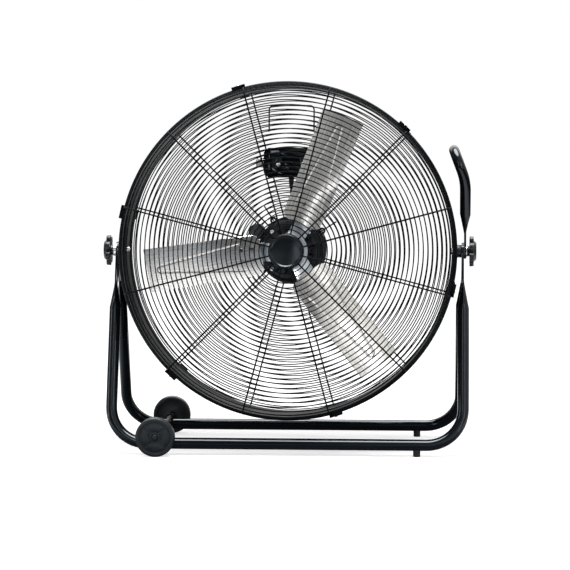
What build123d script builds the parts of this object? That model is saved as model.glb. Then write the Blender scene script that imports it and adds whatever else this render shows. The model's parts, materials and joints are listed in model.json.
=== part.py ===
"""A 24 inch drum fan on a wheeled tube stand.

Millimetres. The origin is on the floor, midway between the legs, under the pivot axis.
X runs along the pivot axis, +Y points to the back of the fan and +Z is up. The air leaves
towards -Y.
"""

from build123d import *
from math import atan2, cos, hypot, pi, radians, sin, sqrt
import os

os.makedirs("parts", exist_ok=True)

# ---------------------------------------------------------------- driving dimensions

# Drum and its pivot
pivot_height = 383
rest_tilt = 3.5  # degrees, the air outlet turned up
drum_radius = 320  # outside of the barrel sheet
drum_depth = 170
sheet = 1.2
bead_radius = 3.3  # rolled edge of the barrel
rib_rise = 3
rib_width = 16
rib_offset = 46  # from the middle of the barrel to each swaged rib

# Stand tubes
tube_diameter = 22
tube_wall = 1.1
base_half_depth = 125  # from the pivot plane to a base tube
foot_height = 11
corner_radius = 70
flat_end = 60  # from the pivot to where a leg starts to open out
round_start = 115  # from the pivot to where it is round
flat_gap = 0.5  # left between the walls where the opening out begins

# Push handle
handle_diameter = 20
handle_top = 578
handle_half_span = 52
handle_reach = 22  # how far its top leans in over the drum
handle_bend_height = 520
handle_flat_end = 36
handle_round_start = 74
handle_lean_radius = 115
handle_corner_radius = 30

# Pivot stack, from the drum outwards
bolt_diameter = 8
bolt_head_height = 5
bolt_flange = 1.5
bolt_end_gap = 2  # from a bolt's end to the bottom of its knob's bore
knob_bore_depth = 14
spacer_diameter = 25
spacer_length = 14
running_gap = 0.2  # between faces that turn against each other
running_fit = 0.1  # on the radius, bolt in hole or wheel on axle
washer_thickness = 1.4
knob_diameter = 60
knob_hub_diameter = 20
knob_hub_length = 5
knob_head_length = 13
knob_lobe_length = 8
knob_lobe_radius = 9
knob_lobes = 7

# Wheels and feet
wheel_diameter = 75
wheel_width = 18
axle_inset = 89.5  # from the left legs in to the axle
axle_diameter = 8
axle_chamfer = 0.8
wheel_rim = 7  # width of the tread's wall
wheel_hub = 5  # thickness of the hub round the axle
wheel_edge = 3  # rounding of the tread
wheel_recess = 4  # depth of the outer face
wheel_back_recess = 6
panel_margin = 3  # round the four raised sector panels
panel_height = 2
panel_groove = 4
wheel_gap = 6  # from a base tube to the wheel beside it
cap_length = 2
cap_radius = 6.5
cap_seat = 1  # depth of a cap in its wheel's recess
foot_diameter = 13.5
foot_inset = 88.5  # from the right legs in to the feet
base_screw_radius = 2
base_screw_head = 8
base_screw_head_height = 2
base_screw_seat = 4  # depth of a screw head's seat in a foot
bracket_sheet = 2
bracket_width = 14

# Guards
spoke_count = 12
spoke_wire = 3
ring_wire = 2.2
hoop_wire = 4
front_spoke_start = 20
rear_spoke_start = 24
rear_inner_rings = 5  # left out of the rear guard where the motor plate sits
ring_pitch = 9.08
first_ring = 33.2
front_guard_depth = 40
rear_guard_depth = 23
front_guard_bend = 22
rear_guard_bend = 14
ring_sides = 24  # a straight side per half spoke bay keeps the wires light
hub_plate_radius = 30
badge_radius = 33.5
badge_height = 6
badge_recess = 2.5  # depth of the badge's flat middle
badge_lip = 2.5  # width of the lip's flat top
badge_slope = 2  # width of the lip's outer bevel
clip_count = 6
clip_angle = 46.8
clip_length = 26
clip_sheet = 1.6
clip_room = 2.8  # between a bead and a clip's web, crossed by its screw
clip_notch = 6.4  # room for a spoke beside a clip's front leg
clip_screw_radius = 1.6

# Fan
blade_count = 3
blade_angle = 68.4
blade_tip = 282
blade_root = 56
blade_chord = 96
blade_camber = 9
blade_pitch_root = 34
blade_pitch_tip = 28
blade_sheet = 1.6
blade_root_corner = 14
ridge_height = 1.4
ridge_width = 5
ridge_root = 92
ridge_root_width = 58
ridge_tip = 263
ridge_tip_width = 17.6
spider_disc = 35
spider_sheet = 2.5
spider_arm_width = 44
spider_arm_start = 54
spider_arm_end = 104
spider_gap = 0.05  # hair gap between an arm and its blade
rivet_radius = 2.5
rivet_rows = (72, 94)
rivet_half_spacing = 13
collar_radius = 15
collar_length = 20
shaft_diameter = 12
shaft_end = 8
fan_plane = -2  # blades' middle, from the middle of the drum
rivet_head = 1.2
rivet_seat = 0.12  # a flat head bridges the dished sheet by this
spider_overlap = 8  # from the disc's rim in to where an arm starts
spider_neck = 0.8  # an arm's width there, as a share of its full width
set_screw_radius = 2
set_screw_place = 4  # from the collar's back
set_screw_depth = 1  # below the collar's surface

# Motor
motor_radius = 62
motor_length = 68
stator_length = 30
bell_wall = 3
stator_rib_depth = 3
stator_rib_width = 4
motor_bore = 38
core_gap = 1  # from the rotor core to each end of the stator
bell_clearance = 1  # round the shaft, and inside a bell's rounded edge
air_gap = 0.5
bearing_radius = 16
bearing_width = 10
plate_thickness = 2.2
plate_radius = 68
lobe_angle = 33
lobe_radius = 70  # to the holes in the plate's lobes
capacitor_diameter = 30
capacitor_length = 46
capacitor_edge = 2
capacitor_gap = 0.05  # from the motor to the strap
tab_width = 5  # the capacitor's two tabs
tab_sheet = 1
tab_height = 6
tab_spacing = 10
capacitor_angle = 152
capacitor_back = -98
capacitor_strap = 1.2
strap_width = 10
strap_gap = 1.5  # from a bell's rounded edge to the strap
bell_round = 6
bell_vents = 16
vent_ring = 37
vent_length = 22
vent_width = 5
stator_ribs = 24
through_bolt_ring = 52
through_bolt_radius = 2
mount_screw_ring = 40
mount_screw_radius = 2.5
lobe_size = 7
lobe_hole = 2.8
motor_screw_head = 3
bolt_seat = 0.2  # a through bolt's end is this far in from the bell's face
stay_start = 63
stay_end = 104

# Switch box behind the rear guard
box_width = 109
box_height = 59
box_depth = 34
box_wall = 2.5
box_corner = 9
box_x = -4
box_y = 174
box_screw_radius = 2
box_switch_size = 24
cover_sheet = 1.5
cover_post_radius = 4.5
cover_screw_inset = 6.5  # from the box's top and bottom
cover_screw_head = 1.5
gland_radius = 9
gland_step = 2  # from the nut's size to the thread's, and on to the bore's
gland_length = 4
box_clamp_half = 25  # from the box's middle to a clamp
box_clamp_width = 14
box_clamp_overhang = 3  # past the outer two of its three rings
box_clamp_sheet = 2
box_clamp_head = 1.5
speed_stem_radius = 3
speed_knob_diameter = 20
speed_knob_length = 16
speed_knob_flutes = 12
flute_radius = 1.6
flute_offset = 0.6  # a flute's middle, outside the knob's own radius
lead_diameter = 5.6
lead_bend = 15
lead_end_bend = 11
relief_length = 19
relief_wall = 1.2  # round the lead at the thin end
grommet_wall = 2.5
grommet_length = 6
grommet_seat = 2  # depth of its start inside the motor's radius

# Wire handle on the rear guard
rear_handle_wire = 3
rear_handle_width = 90
rear_handle_ring = 23  # counted from the guard's first ring
rear_handle_height = 52
rear_handle_standoff = 24
rear_handle_bend = 9

# ---------------------------------------------------------------- places that follow

base_tube_height = foot_height + tube_diameter / 2
leg_rise = pivot_height - base_tube_height
leg_length = hypot(leg_rise, base_half_depth)
flat_thickness = 2 * tube_wall
flat_width = pi * (tube_diameter - flat_thickness) / 2 + flat_thickness
handle_flat_width = pi * (handle_diameter - flat_thickness) / 2 + flat_thickness

spacer_end = drum_radius + spacer_length
rear_half_width = spacer_end + running_gap + flat_thickness / 2
front_half_width = rear_half_width + flat_thickness
stand_face = front_half_width + flat_thickness / 2
handle_x = stand_face + flat_thickness
clamp_face = stand_face + 2 * flat_thickness
wheel_place = axle_inset - front_half_width  # X of the axle
foot_place = front_half_width - foot_inset
bead_line = drum_radius + bead_radius / 2  # radius of the rolled edges' middle
clip_web = bead_line + bead_radius + clip_room
knob_face = clamp_face + washer_thickness + running_gap

axle_height = wheel_diameter / 2
wheel_inner = base_half_depth + tube_diameter / 2 + wheel_gap
wheel_outer = wheel_inner + wheel_width
axle_end = wheel_outer + cap_length / 2

rim_face = drum_depth / 2
bead_station = rim_face - bead_radius
tilt = radians(rest_tilt)
drum_axis_direction = (0, -cos(tilt), sin(tilt))
drum_up = (0, sin(tilt), cos(tilt))
drum_axis = Axis((0, 0, pivot_height), drum_axis_direction)
spoke_angles = [360 / spoke_count * (k + 0.5) for k in range(spoke_count)]
clip_angles = [clip_angle + 360 / clip_count * k for k in range(clip_count)]
clip_spokes = [min(spoke_angles, key=lambda a: abs(a - angle)) for angle in clip_angles]
blade_angles = [blade_angle + 360 / blade_count * k for k in range(blade_count)]

front_face = rim_face + front_guard_depth  # spoke line of the front guard
rear_face = rim_face + rear_guard_depth
rear_first_ring = first_ring + rear_inner_rings * ring_pitch
motor_back = -(rear_face - spoke_wire / 2 - plate_thickness)
motor_front = motor_back + motor_length
bell_length = (motor_length - stator_length) / 2
stator_back = motor_back + bell_length
box_front = -(rear_face + spoke_wire / 2)
dish_radius = (blade_chord**2 / 4 + blade_camber**2) / (2 * blade_camber)
spider_back = fan_plane - blade_camber - spider_gap - spider_sheet
fan_middle = Vector(0, 0, pivot_height) + Vector(*drum_axis_direction) * fan_plane
flat_share = (1 + cos(pi / ring_sides)) / 2  # a ring's straight sides lie this far in
box_clamp_ring = (first_ring + 15.5 * ring_pitch) * flat_share
box_clamp_spots = [
    (box_x + x, sqrt(box_clamp_ring**2 - (box_x + x) ** 2))
    for x in (-box_clamp_half, box_clamp_half)
]
cover_screw_spots = [
    (box_x + side * (box_width / 2 - box_corner), box_y + up * (box_height / 2 - cover_screw_inset))
    for side in (-1, 1)
    for up in (-1, 1)
]
gland_spot = (box_x + box_width / 4, box_y - box_height / 5)
lead_depth = box_front - box_depth / 2
lead_height = (first_ring + 5.5 * ring_pitch) * flat_share
lead_entry = (motor_back + bell_round + stator_back) / 2
clamp_back = -(rear_face - spoke_wire / 2 - ring_wire)  # the rings' side towards the fan
stay_angles = [lobe_angle + 90 * k for k in range(4)]


# ---------------------------------------------------------------- planes


def leg_up(side):
    """Direction from a base tube up to the pivot; side is -1 for the front, 1 for the rear."""
    return (0, -side * base_half_depth / leg_length, leg_rise / leg_length)


def leg_plane(side):
    """The plane that a whole stand tube lies in: x along the pivot, y up the legs."""
    up = leg_up(side)
    return Plane(origin=(0, 0, pivot_height), x_dir=(1, 0, 0), z_dir=(0, -up[2], up[1]))


def flat_plane(up, x):
    """The middle of a flattened end at x: y runs up its leg."""
    return Plane(origin=(x, 0, pivot_height), x_dir=(0, up[2], -up[1]), z_dir=(1, 0, 0))


def section_plane(up, x, distance):
    """Across a leg, at a distance from the pivot, with x along the flattened width."""
    origin = (x, up[1] * distance, pivot_height + up[2] * distance)
    return Plane(origin=origin, x_dir=(0, up[2], -up[1]), z_dir=up)


def drum_plane(z=0):
    """Across the drum's axis, z in front of its middle: x to the right, y up."""
    middle = Plane(origin=(0, 0, pivot_height), x_dir=(1, 0, 0), z_dir=drum_axis_direction)
    return middle.offset(z)


def radial_plane(angle):
    """Through the drum's axis: x outwards at the angle, y along the axis to the front."""
    a = radians(angle)
    out = Vector(1, 0, 0) * cos(a) + Vector(*drum_up) * sin(a)
    return Plane(
        origin=(0, 0, pivot_height), x_dir=out, z_dir=out.cross(Vector(*drum_axis_direction))
    )


def tangent_plane(angle, radius, z):
    """Facing outwards at a radius of the drum: x along the drum's axis, y around it."""
    a = radians(angle)
    out = Vector(1, 0, 0) * cos(a) + Vector(*drum_up) * sin(a)
    axis = Vector(*drum_axis_direction)
    origin = Vector(0, 0, pivot_height) + out * radius + axis * z
    return Plane(origin=origin, x_dir=axis, z_dir=out)


def side_plane(x, facing=1):
    """Across the pivot axis at x, facing right (1) or left (-1)."""
    return Plane(origin=(x, 0, pivot_height), x_dir=(0, 1, 0), z_dir=(facing, 0, 0))


def axle_plane(y, facing=1):
    """Across the wheel axle at y, facing back (1) or front (-1)."""
    return Plane(origin=(wheel_place, y, axle_height), x_dir=(1, 0, 0), z_dir=(0, facing, 0))


def finish(builder, name):
    builder.part.label = name
    export_step(builder.part, f"parts/{name}.step")


# ---------------------------------------------------------------- stand


def stand_tube(side, half_width, name):
    up = leg_up(side)
    base_y = side * base_half_depth
    with BuildPart() as tube:
        for radius, slot_width, slot_height, mode in (
            (tube_diameter / 2, flat_width, flat_thickness, Mode.ADD),
            (tube_diameter / 2 - tube_wall, flat_width - 4 * tube_wall, flat_gap, Mode.SUBTRACT),
        ):
            with BuildLine(leg_plane(side)) as route:
                FilletPolyline(
                    (-half_width, -round_start),
                    (-half_width, -leg_length),
                    (half_width, -leg_length),
                    (half_width, -round_start),
                    radius=corner_radius,
                )
            with BuildSketch(Plane(origin=route.line @ 0, z_dir=route.line % 0)):
                Circle(radius)
            sweep(mode=mode)
            for x in (-half_width, half_width):
                with BuildSketch(section_plane(up, x, -round_start)):
                    Circle(radius)
                with BuildSketch(section_plane(up, x, -flat_end)):
                    SlotOverall(slot_width, slot_height)
                loft(mode=mode)
        for x in (-half_width, half_width):
            with BuildSketch(flat_plane(up, x)):
                Circle(flat_width / 2)
                with Locations((0, -flat_end / 2)):
                    Rectangle(flat_width, flat_end)
                Circle(bolt_diameter / 2 + running_fit, mode=Mode.SUBTRACT)
            extrude(amount=flat_thickness / 2, both=True)
        with BuildSketch(Plane.XY):
            with Locations((foot_place, base_y), (wheel_place, base_y)):
                Circle(base_screw_radius)
        extrude(amount=base_tube_height, mode=Mode.SUBTRACT)
    finish(tube, name)


def handle_tube(name):
    lean = handle_half_span / (handle_top - pivot_height)
    rise = cos(atan2(lean, 1))
    run = sin(atan2(lean, 1))
    bend_y = lean * (handle_bend_height - pivot_height)
    with BuildPart() as tube:
        for radius, slot_width, slot_height, mode in (
            (handle_diameter / 2, handle_flat_width, flat_thickness, Mode.ADD),
            (
                handle_diameter / 2 - tube_wall,
                handle_flat_width - 4 * tube_wall,
                flat_gap,
                Mode.SUBTRACT,
            ),
        ):
            points = []
            for side in (-1, 1):
                foot = (
                    handle_x,
                    side * run * handle_round_start,
                    pivot_height + rise * handle_round_start,
                )
                bend = (handle_x, side * bend_y, handle_bend_height)
                corner = (handle_x - handle_reach, side * handle_half_span, handle_top)
                points += [foot, bend, corner][::-side]
            with BuildLine() as route:
                FilletPolyline(
                    *points,
                    radius=[
                        handle_lean_radius,
                        handle_corner_radius,
                        handle_corner_radius,
                        handle_lean_radius,
                    ],
                )
            with BuildSketch(Plane(origin=route.line @ 0, z_dir=route.line % 0)):
                Circle(radius)
            sweep(mode=mode)
            for side in (-1, 1):
                up = (0, side * run, rise)
                with BuildSketch(section_plane(up, handle_x, handle_round_start)):
                    Circle(radius)
                flat_x = handle_x + side * flat_thickness / 2
                with BuildSketch(section_plane(up, flat_x, handle_flat_end)):
                    SlotOverall(slot_width, slot_height)
                loft(mode=mode)
        for side in (-1, 1):
            up = (0, side * run, rise)
            with BuildSketch(flat_plane(up, handle_x + side * flat_thickness / 2)):
                Circle(handle_flat_width / 2)
                with Locations((0, handle_flat_end / 2)):
                    Rectangle(handle_flat_width, handle_flat_end)
                Circle(bolt_diameter / 2 + running_fit, mode=Mode.SUBTRACT)
            extrude(amount=flat_thickness / 2, both=True)
    finish(tube, name)


def pivot_rings(places, length, name):
    """Flat rings on the pivot bolts, each from its place outwards."""
    with BuildPart() as rings:
        for x in places:
            with BuildSketch(side_plane(x, 1 if x > 0 else -1)):
                Circle(spacer_diameter / 2)
                Circle(bolt_diameter / 2 + running_fit, mode=Mode.SUBTRACT)
            extrude(amount=length)
    finish(rings, name)


def foot(side, name):
    base_y = side * base_half_depth
    with BuildPart() as rubber:
        with BuildSketch():
            with Locations((foot_place, base_y)):
                Circle(foot_diameter / 2)
        extrude(amount=foot_height + tube_diameter / 4, taper=-1)
        with BuildSketch(Plane.YZ.offset(foot_place - foot_diameter)):
            with Locations((base_y, base_tube_height)):
                Circle(tube_diameter / 2)
        extrude(amount=2 * foot_diameter, mode=Mode.SUBTRACT)
        with BuildSketch():
            with Locations((foot_place, base_y)):
                Circle(base_screw_head / 2)
        extrude(amount=base_screw_seat, mode=Mode.SUBTRACT)
        with BuildSketch():
            with Locations((foot_place, base_y)):
                Circle(base_screw_radius)
        extrude(amount=base_tube_height, mode=Mode.SUBTRACT)
    finish(rubber, name)


def base_screws():
    """Pan-head screws up into the base tubes, through the feet and the axle brackets."""
    bracket_face = foot_height - bracket_sheet
    with BuildPart() as screws:
        for place, seat in ((foot_place, base_screw_seat), (wheel_place, bracket_face)):
            spots = [(place, side * base_half_depth) for side in (-1, 1)]
            with BuildSketch(Plane.XY.offset(seat - base_screw_head_height)):
                with Locations(*spots):
                    Circle(base_screw_head / 2)
            extrude(amount=base_screw_head_height)
            with BuildSketch(Plane.XY.offset(seat)):
                with Locations(*spots):
                    Circle(base_screw_radius)
            extrude(amount=foot_height - seat + 2 * tube_wall)
    finish(screws, "base_screws")


def axle():
    with BuildPart() as rod:
        with BuildSketch(axle_plane(0)):
            Circle(axle_diameter / 2)
        extrude(amount=axle_end, both=True)
        chamfer(rod.edges().filter_by(GeomType.CIRCLE), length=axle_chamfer)
    finish(rod, "axle")


def axle_brackets():
    """A strap under each base tube, with two ears that the axle passes through."""
    inner = tube_diameter / 2
    outer = inner + bracket_sheet
    ear = axle_height + axle_diameter - base_tube_height
    with BuildPart() as brackets:
        for side in (-1, 1):
            with BuildSketch(Plane.YZ.offset(wheel_place)):
                for half, mode in ((outer, Mode.ADD), (inner, Mode.SUBTRACT)):
                    with Locations((side * base_half_depth, base_tube_height)):
                        Circle(half, mode=mode)
                    with Locations((side * base_half_depth, base_tube_height + ear / 2)):
                        Rectangle(2 * half, ear, mode=mode)
            extrude(amount=bracket_width / 2, both=True)
            with BuildSketch(Plane.XY):
                with Locations((wheel_place, side * base_half_depth)):
                    Circle(base_screw_radius)
            extrude(amount=base_tube_height, mode=Mode.SUBTRACT)
        ear_corners = brackets.edges().filter_by(Axis.Y).group_by(Axis.Z)[-1]
        fillet(ear_corners, radius=bracket_width / 4)
        with BuildSketch(axle_plane(0)):
            Circle(axle_diameter / 2)
        extrude(amount=wheel_inner, both=True, mode=Mode.SUBTRACT)
    finish(brackets, "axle_brackets")


def axle_caps():
    """A push-on dome at each end of the axle."""
    with BuildPart() as caps:
        for side in (-1, 1):
            with BuildSketch(axle_plane(side * (wheel_outer - cap_seat), side)):
                Circle(cap_radius)
            extrude(amount=cap_length + cap_seat, taper=25)
        with BuildSketch(axle_plane(0)):
            Circle(axle_diameter / 2)
        extrude(amount=axle_end, both=True, mode=Mode.SUBTRACT)
    finish(caps, "axle_caps")


def wheel(side, name):
    """Moulded wheel: rounded tread, recessed faces and four sector panels outside."""
    tread = wheel_diameter / 2
    rim = tread - wheel_rim
    hub = axle_diameter / 2 + wheel_hub
    middle = wheel_width / 2
    face = axle_plane(side * (wheel_inner + middle), side)
    with BuildPart() as tyre:
        with BuildSketch(face):
            Circle(tread)
        extrude(amount=middle, both=True)
        fillet(tyre.edges().filter_by(GeomType.CIRCLE), radius=wheel_edge)
        for direction, depth in ((1, wheel_recess), (-1, wheel_back_recess)):
            with BuildSketch(face.offset(direction * (middle - depth))):
                Circle(rim)
                Circle(hub, mode=Mode.SUBTRACT)
            extrude(amount=direction * depth, mode=Mode.SUBTRACT)
        with BuildSketch(face.offset(middle - wheel_recess)):
            Circle(rim - panel_margin)
            Circle(hub + panel_margin, mode=Mode.SUBTRACT)
            for turn in (45, 135):
                Rectangle(2 * rim, panel_groove, rotation=turn, mode=Mode.SUBTRACT)
        extrude(amount=panel_height)
        with BuildSketch(face.offset(middle - cap_seat - running_gap)):
            Circle(cap_radius + running_gap)
        extrude(amount=cap_seat + running_gap, mode=Mode.SUBTRACT)
        with BuildSketch(face):
            Circle(axle_diameter / 2 + running_fit)
        extrude(amount=middle, both=True, mode=Mode.SUBTRACT)
    finish(tyre, name)


def clamp_knob(side, name):
    """Star knob: a hub against the leg, a widening head with lobes and a domed cap."""
    ring = knob_diameter / 2 - knob_lobe_radius
    lobe_face = knob_face + knob_hub_length
    cap_face = lobe_face + knob_lobe_length
    with BuildPart() as knob:
        with BuildSketch(side_plane(side * knob_face, side)):
            Circle(knob_hub_diameter / 2)
        extrude(amount=knob_hub_length)
        with BuildSketch(side_plane(side * lobe_face, side)):
            Circle(ring)
            with PolarLocations(ring, knob_lobes):
                Circle(knob_lobe_radius)
        extrude(amount=knob_lobe_length, taper=5)
        with BuildSketch(side_plane(side * cap_face, side)):
            Circle(ring)
        extrude(amount=knob_head_length - knob_lobe_length, taper=40)
        with BuildSketch(side_plane(side * knob_face, side)):
            Circle(bolt_diameter / 2 + running_fit)
        extrude(amount=knob_bore_depth, mode=Mode.SUBTRACT)
    finish(knob, name)


def pivot_bolt(side, name):
    """Flanged hexagon head inside the drum, shank out through the legs into the knob."""
    flange_radius = bolt_diameter
    seat = sqrt((drum_radius - sheet) ** 2 - flange_radius**2)
    head_face = seat - bolt_flange
    with BuildPart() as bolt:
        with BuildSketch(side_plane(side * head_face, side)):
            Circle(flange_radius)
        extrude(amount=bolt_flange)
        with BuildSketch(side_plane(side * head_face, side)):
            RegularPolygon(bolt_diameter * 0.9, 6)
        extrude(amount=-bolt_head_height)
        with BuildSketch(side_plane(side * head_face, side)):
            Circle(bolt_diameter / 2)
        extrude(amount=knob_face + knob_bore_depth - bolt_end_gap - head_face)
    finish(bolt, name)


def pivot_spacer(side, name):
    """Sleeve from the curved barrel to the legs."""
    with BuildPart() as spacer:
        with BuildSketch(side_plane(side * spacer_end, -side)):
            Circle(spacer_diameter / 2)
            Circle(bolt_diameter / 2, mode=Mode.SUBTRACT)
        extrude(amount=2 * spacer_length)
        with BuildSketch(drum_plane()):
            Circle(drum_radius)
        extrude(amount=spacer_diameter, both=True, mode=Mode.SUBTRACT)
    finish(spacer, name)


# ---------------------------------------------------------------- drum


def barrel_line(radius, rise):
    """One side of the barrel sheet with its two swaged ribs, in radius and height."""
    half = rib_width / 2
    points = [(radius, -bead_station)]
    for middle in (-rib_offset, rib_offset):
        Line(points[-1], (radius, middle - half))
        ThreePointArc(
            (radius, middle - half), (radius + rise, middle), (radius, middle + half)
        )
        points.append((radius, middle + half))
    Line(points[-1], (radius, bead_station))


def barrel():
    with BuildPart() as drum:
        with BuildSketch(radial_plane(0)):
            with BuildLine():
                barrel_line(drum_radius, rib_rise)
                barrel_line(drum_radius - sheet, rib_rise)
                for z in (-bead_station, bead_station):
                    Line((drum_radius, z), (drum_radius - sheet, z))
            make_face()
            for z in (-bead_station, bead_station):
                with Locations((bead_line, z)):
                    Circle(bead_radius)
        revolve(axis=drum_axis)
        with BuildSketch(side_plane(0)):
            Circle(bolt_diameter / 2)
        extrude(amount=drum_radius + bead_radius, both=True, mode=Mode.SUBTRACT)
    finish(drum, "barrel")


def guard_station(distance, face, bend):
    """Point of the spoke line at a distance along it from the axis, and its outward normal."""
    wall = bead_line
    flat = wall - bend
    turn = min(max((distance - flat) / bend, 0), pi / 2)
    beyond = max(distance - flat - bend * pi / 2, 0)
    radius = min(distance, flat) + bend * sin(turn)
    z = face - bend * (1 - cos(turn)) - beyond
    return radius, z, (sin(turn), cos(turn))


def guard_rings(side, face, bend, start, name):
    """Ring wires at a steady pitch along the spokes, on the side towards the fan."""
    length = bead_line - bend + bend * pi / 2 + face - bend - rim_face - hoop_wire
    with BuildPart() as rings:
        distance = start
        while distance < length - ring_wire:
            radius, z, normal = guard_station(distance, face, bend)
            inset = spoke_wire / 2 + ring_wire / 2 * (normal[0] + normal[1])
            radius -= inset * normal[0]
            z -= inset * normal[1]
            with BuildSketch(drum_plane(side * z - ring_wire / 2)):
                RegularPolygon(radius + ring_wire / 2, ring_sides)
                RegularPolygon(radius - ring_wire / 2, ring_sides, mode=Mode.SUBTRACT)
            distance += ring_pitch
        extrude(amount=ring_wire)
        with BuildSketch(radial_plane(0)):
            with Locations((bead_line, side * (rim_face + hoop_wire / 2))):
                Rectangle(hoop_wire, hoop_wire)
        revolve(axis=drum_axis)
    finish(rings, name)


def guard_spokes(side, face, bend, start, stays, name):
    """Spokes over the rings, bent back to the rim hoop, and stays from the motor plate."""
    with BuildPart() as spokes:
        for angle in spoke_angles:
            with BuildLine(radial_plane(angle)) as route:
                FilletPolyline(
                    (start, side * face),
                    (bead_line, side * face),
                    (bead_line, side * (rim_face + hoop_wire)),
                    radius=bend,
                )
            with BuildSketch(
                Plane(origin=route.line @ 0, x_dir=drum_axis_direction, z_dir=route.line % 0)
            ):
                Rectangle(spoke_wire, spoke_wire)
            sweep()
        for angle in stays:
            with BuildSketch(tangent_plane(angle, stay_start, motor_back + spoke_wire / 2)):
                Rectangle(spoke_wire, spoke_wire)
            extrude(amount=stay_end - stay_start)
    finish(spokes, name)


def guard_badge():
    """Plain round cap over the spokes' inner ends: a raised lip round a flat recess."""
    base = front_face + spoke_wire / 2
    top = base + badge_height
    floor = top - badge_recess
    with BuildPart() as badge:
        with BuildSketch(radial_plane(0)):
            with BuildLine():
                Polyline(
                    (0, base),
                    (badge_radius, base),
                    (badge_radius, floor),
                    (badge_radius - badge_slope, top),
                    (badge_radius - badge_slope - badge_lip, top),
                    (badge_radius - badge_slope - badge_lip - badge_recess, floor),
                    (0, floor),
                    (0, base),
                )
            make_face()
        revolve(axis=drum_axis)
    finish(badge, "guard_badge")


def hub_plate():
    """Round plate welded behind the inner ends of the front spokes."""
    with BuildPart() as plate:
        with BuildSketch(drum_plane(front_face - spoke_wire / 2)):
            Circle(hub_plate_radius)
        extrude(amount=-sheet)
    finish(plate, "front_hub_plate")


def guard_clips():
    """Channel clips that hold each guard's hoop down on its bead."""
    over_hoop = rim_face + hoop_wire
    under_bead = rim_face - 2 * bead_radius
    front_reach = bead_line - hoop_wire
    back_reach = drum_radius + running_gap
    outer = clip_web + clip_sheet
    with BuildPart() as clips:
        for side in (-1, 1):
            for angle, spoke in zip(clip_angles, clip_spokes):
                with BuildSketch(radial_plane(angle)):
                    with BuildLine():
                        Polyline(
                            (front_reach, side * over_hoop),
                            (clip_web, side * over_hoop),
                            (clip_web, side * under_bead),
                            (back_reach, side * under_bead),
                            (back_reach, side * (under_bead - clip_sheet)),
                            (outer, side * (under_bead - clip_sheet)),
                            (outer, side * (over_hoop + clip_sheet)),
                            (front_reach, side * (over_hoop + clip_sheet)),
                            (front_reach, side * over_hoop),
                        )
                    make_face()
                extrude(amount=clip_length / 2, both=True)
                with BuildSketch(tangent_plane(spoke, clip_web, side * over_hoop)):
                    Rectangle(3 * clip_sheet, clip_notch)
                extrude(amount=2 * (front_reach - clip_web), mode=Mode.SUBTRACT)
                with BuildSketch(tangent_plane(angle, bead_line, side * bead_station)):
                    Circle(clip_screw_radius)
                extrude(amount=2 * clip_room + bead_radius, mode=Mode.SUBTRACT)
    finish(clips, "guard_clips")


def clip_screws():
    """Small screws through the clips' webs, their points on the beads."""
    with BuildPart() as screws:
        for side in (-1, 1):
            for angle in clip_angles:
                web = tangent_plane(angle, clip_web + clip_sheet, side * bead_station)
                with BuildSketch(web):
                    Circle(2 * clip_screw_radius)
                extrude(amount=clip_screw_radius, taper=20)
                with BuildSketch(web):
                    Circle(clip_screw_radius)
                extrude(amount=-clip_sheet - clip_room)
    finish(screws, "clip_screws")


# ---------------------------------------------------------------- fan


def sheet_section(width, dip, base, thickness, turn):
    """Dished strip across a blade: its middle lies dip lower than its edges."""
    half = width / 2

    def point(x, y):
        return (x * cos(turn) - y * sin(turn), x * sin(turn) + y * cos(turn))

    top = base + thickness
    with BuildLine(Plane.XY) as outline:
        ThreePointArc(point(-half, base), point(0, base - dip), point(half, base))
        Line(point(half, base), point(half, top))
        ThreePointArc(point(half, top), point(0, top - dip), point(-half, top))
        Line(point(-half, top), point(-half, base))
    make_face(outline.edges())


def dish_height(x):
    """Height of a blade's back face at x across it."""
    return dish_radius - blade_camber - sqrt(dish_radius**2 - x**2)


def blade_turn(radius):
    """Turn of a blade's section out of the fan's plane; its leading edge lies to the back."""
    share = (radius - blade_root) / (blade_tip - blade_root)
    return -radians(blade_pitch_root + share * (blade_pitch_tip - blade_pitch_root))


def outward(angle):
    return Vector(1, 0, 0) * cos(radians(angle)) + Vector(*drum_up) * sin(radians(angle))


def blade_plane(angle, radius):
    """Across a blade at a radius: x along the fan's circle, y to the front."""
    out = outward(angle)
    axis = Vector(*drum_axis_direction)
    return Plane(origin=fan_middle + out * radius, x_dir=axis.cross(out), z_dir=out)


def fan_front_plane(angle):
    """Facing the front at the fan's middle: x out along the blade."""
    return Plane(origin=fan_middle, x_dir=outward(angle), z_dir=drum_axis_direction)


def ridge_outline(inset):
    """Tapered tongue along the blade, rounded at its tip."""
    tip = ridge_tip_width / 2 - inset
    root = ridge_root_width / 2 - inset
    end = ridge_tip - ridge_tip_width / 2
    start = ridge_root - inset
    with BuildLine(Plane.XY) as outline:
        Line((start, -root), (end, -tip))
        ThreePointArc((end, -tip), (end + tip, 0), (end, tip))
        Line((end, tip), (start, root))
        Line((start, root), (start, -root))
    make_face(outline.edges())


def root_corners():
    """What is cut off a blade's root: two squares less the rounding circles."""
    edge = blade_chord / 2 * cos(blade_turn(blade_root))
    middle = blade_root + blade_root_corner
    for side in (-1, 1):
        with Locations((blade_root, side * edge)):
            Rectangle(2 * blade_root_corner, 2 * blade_root_corner)
    for side in (-1, 1):
        with Locations((middle, side * (edge - blade_root_corner))):
            Circle(blade_root_corner, mode=Mode.SUBTRACT)


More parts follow.
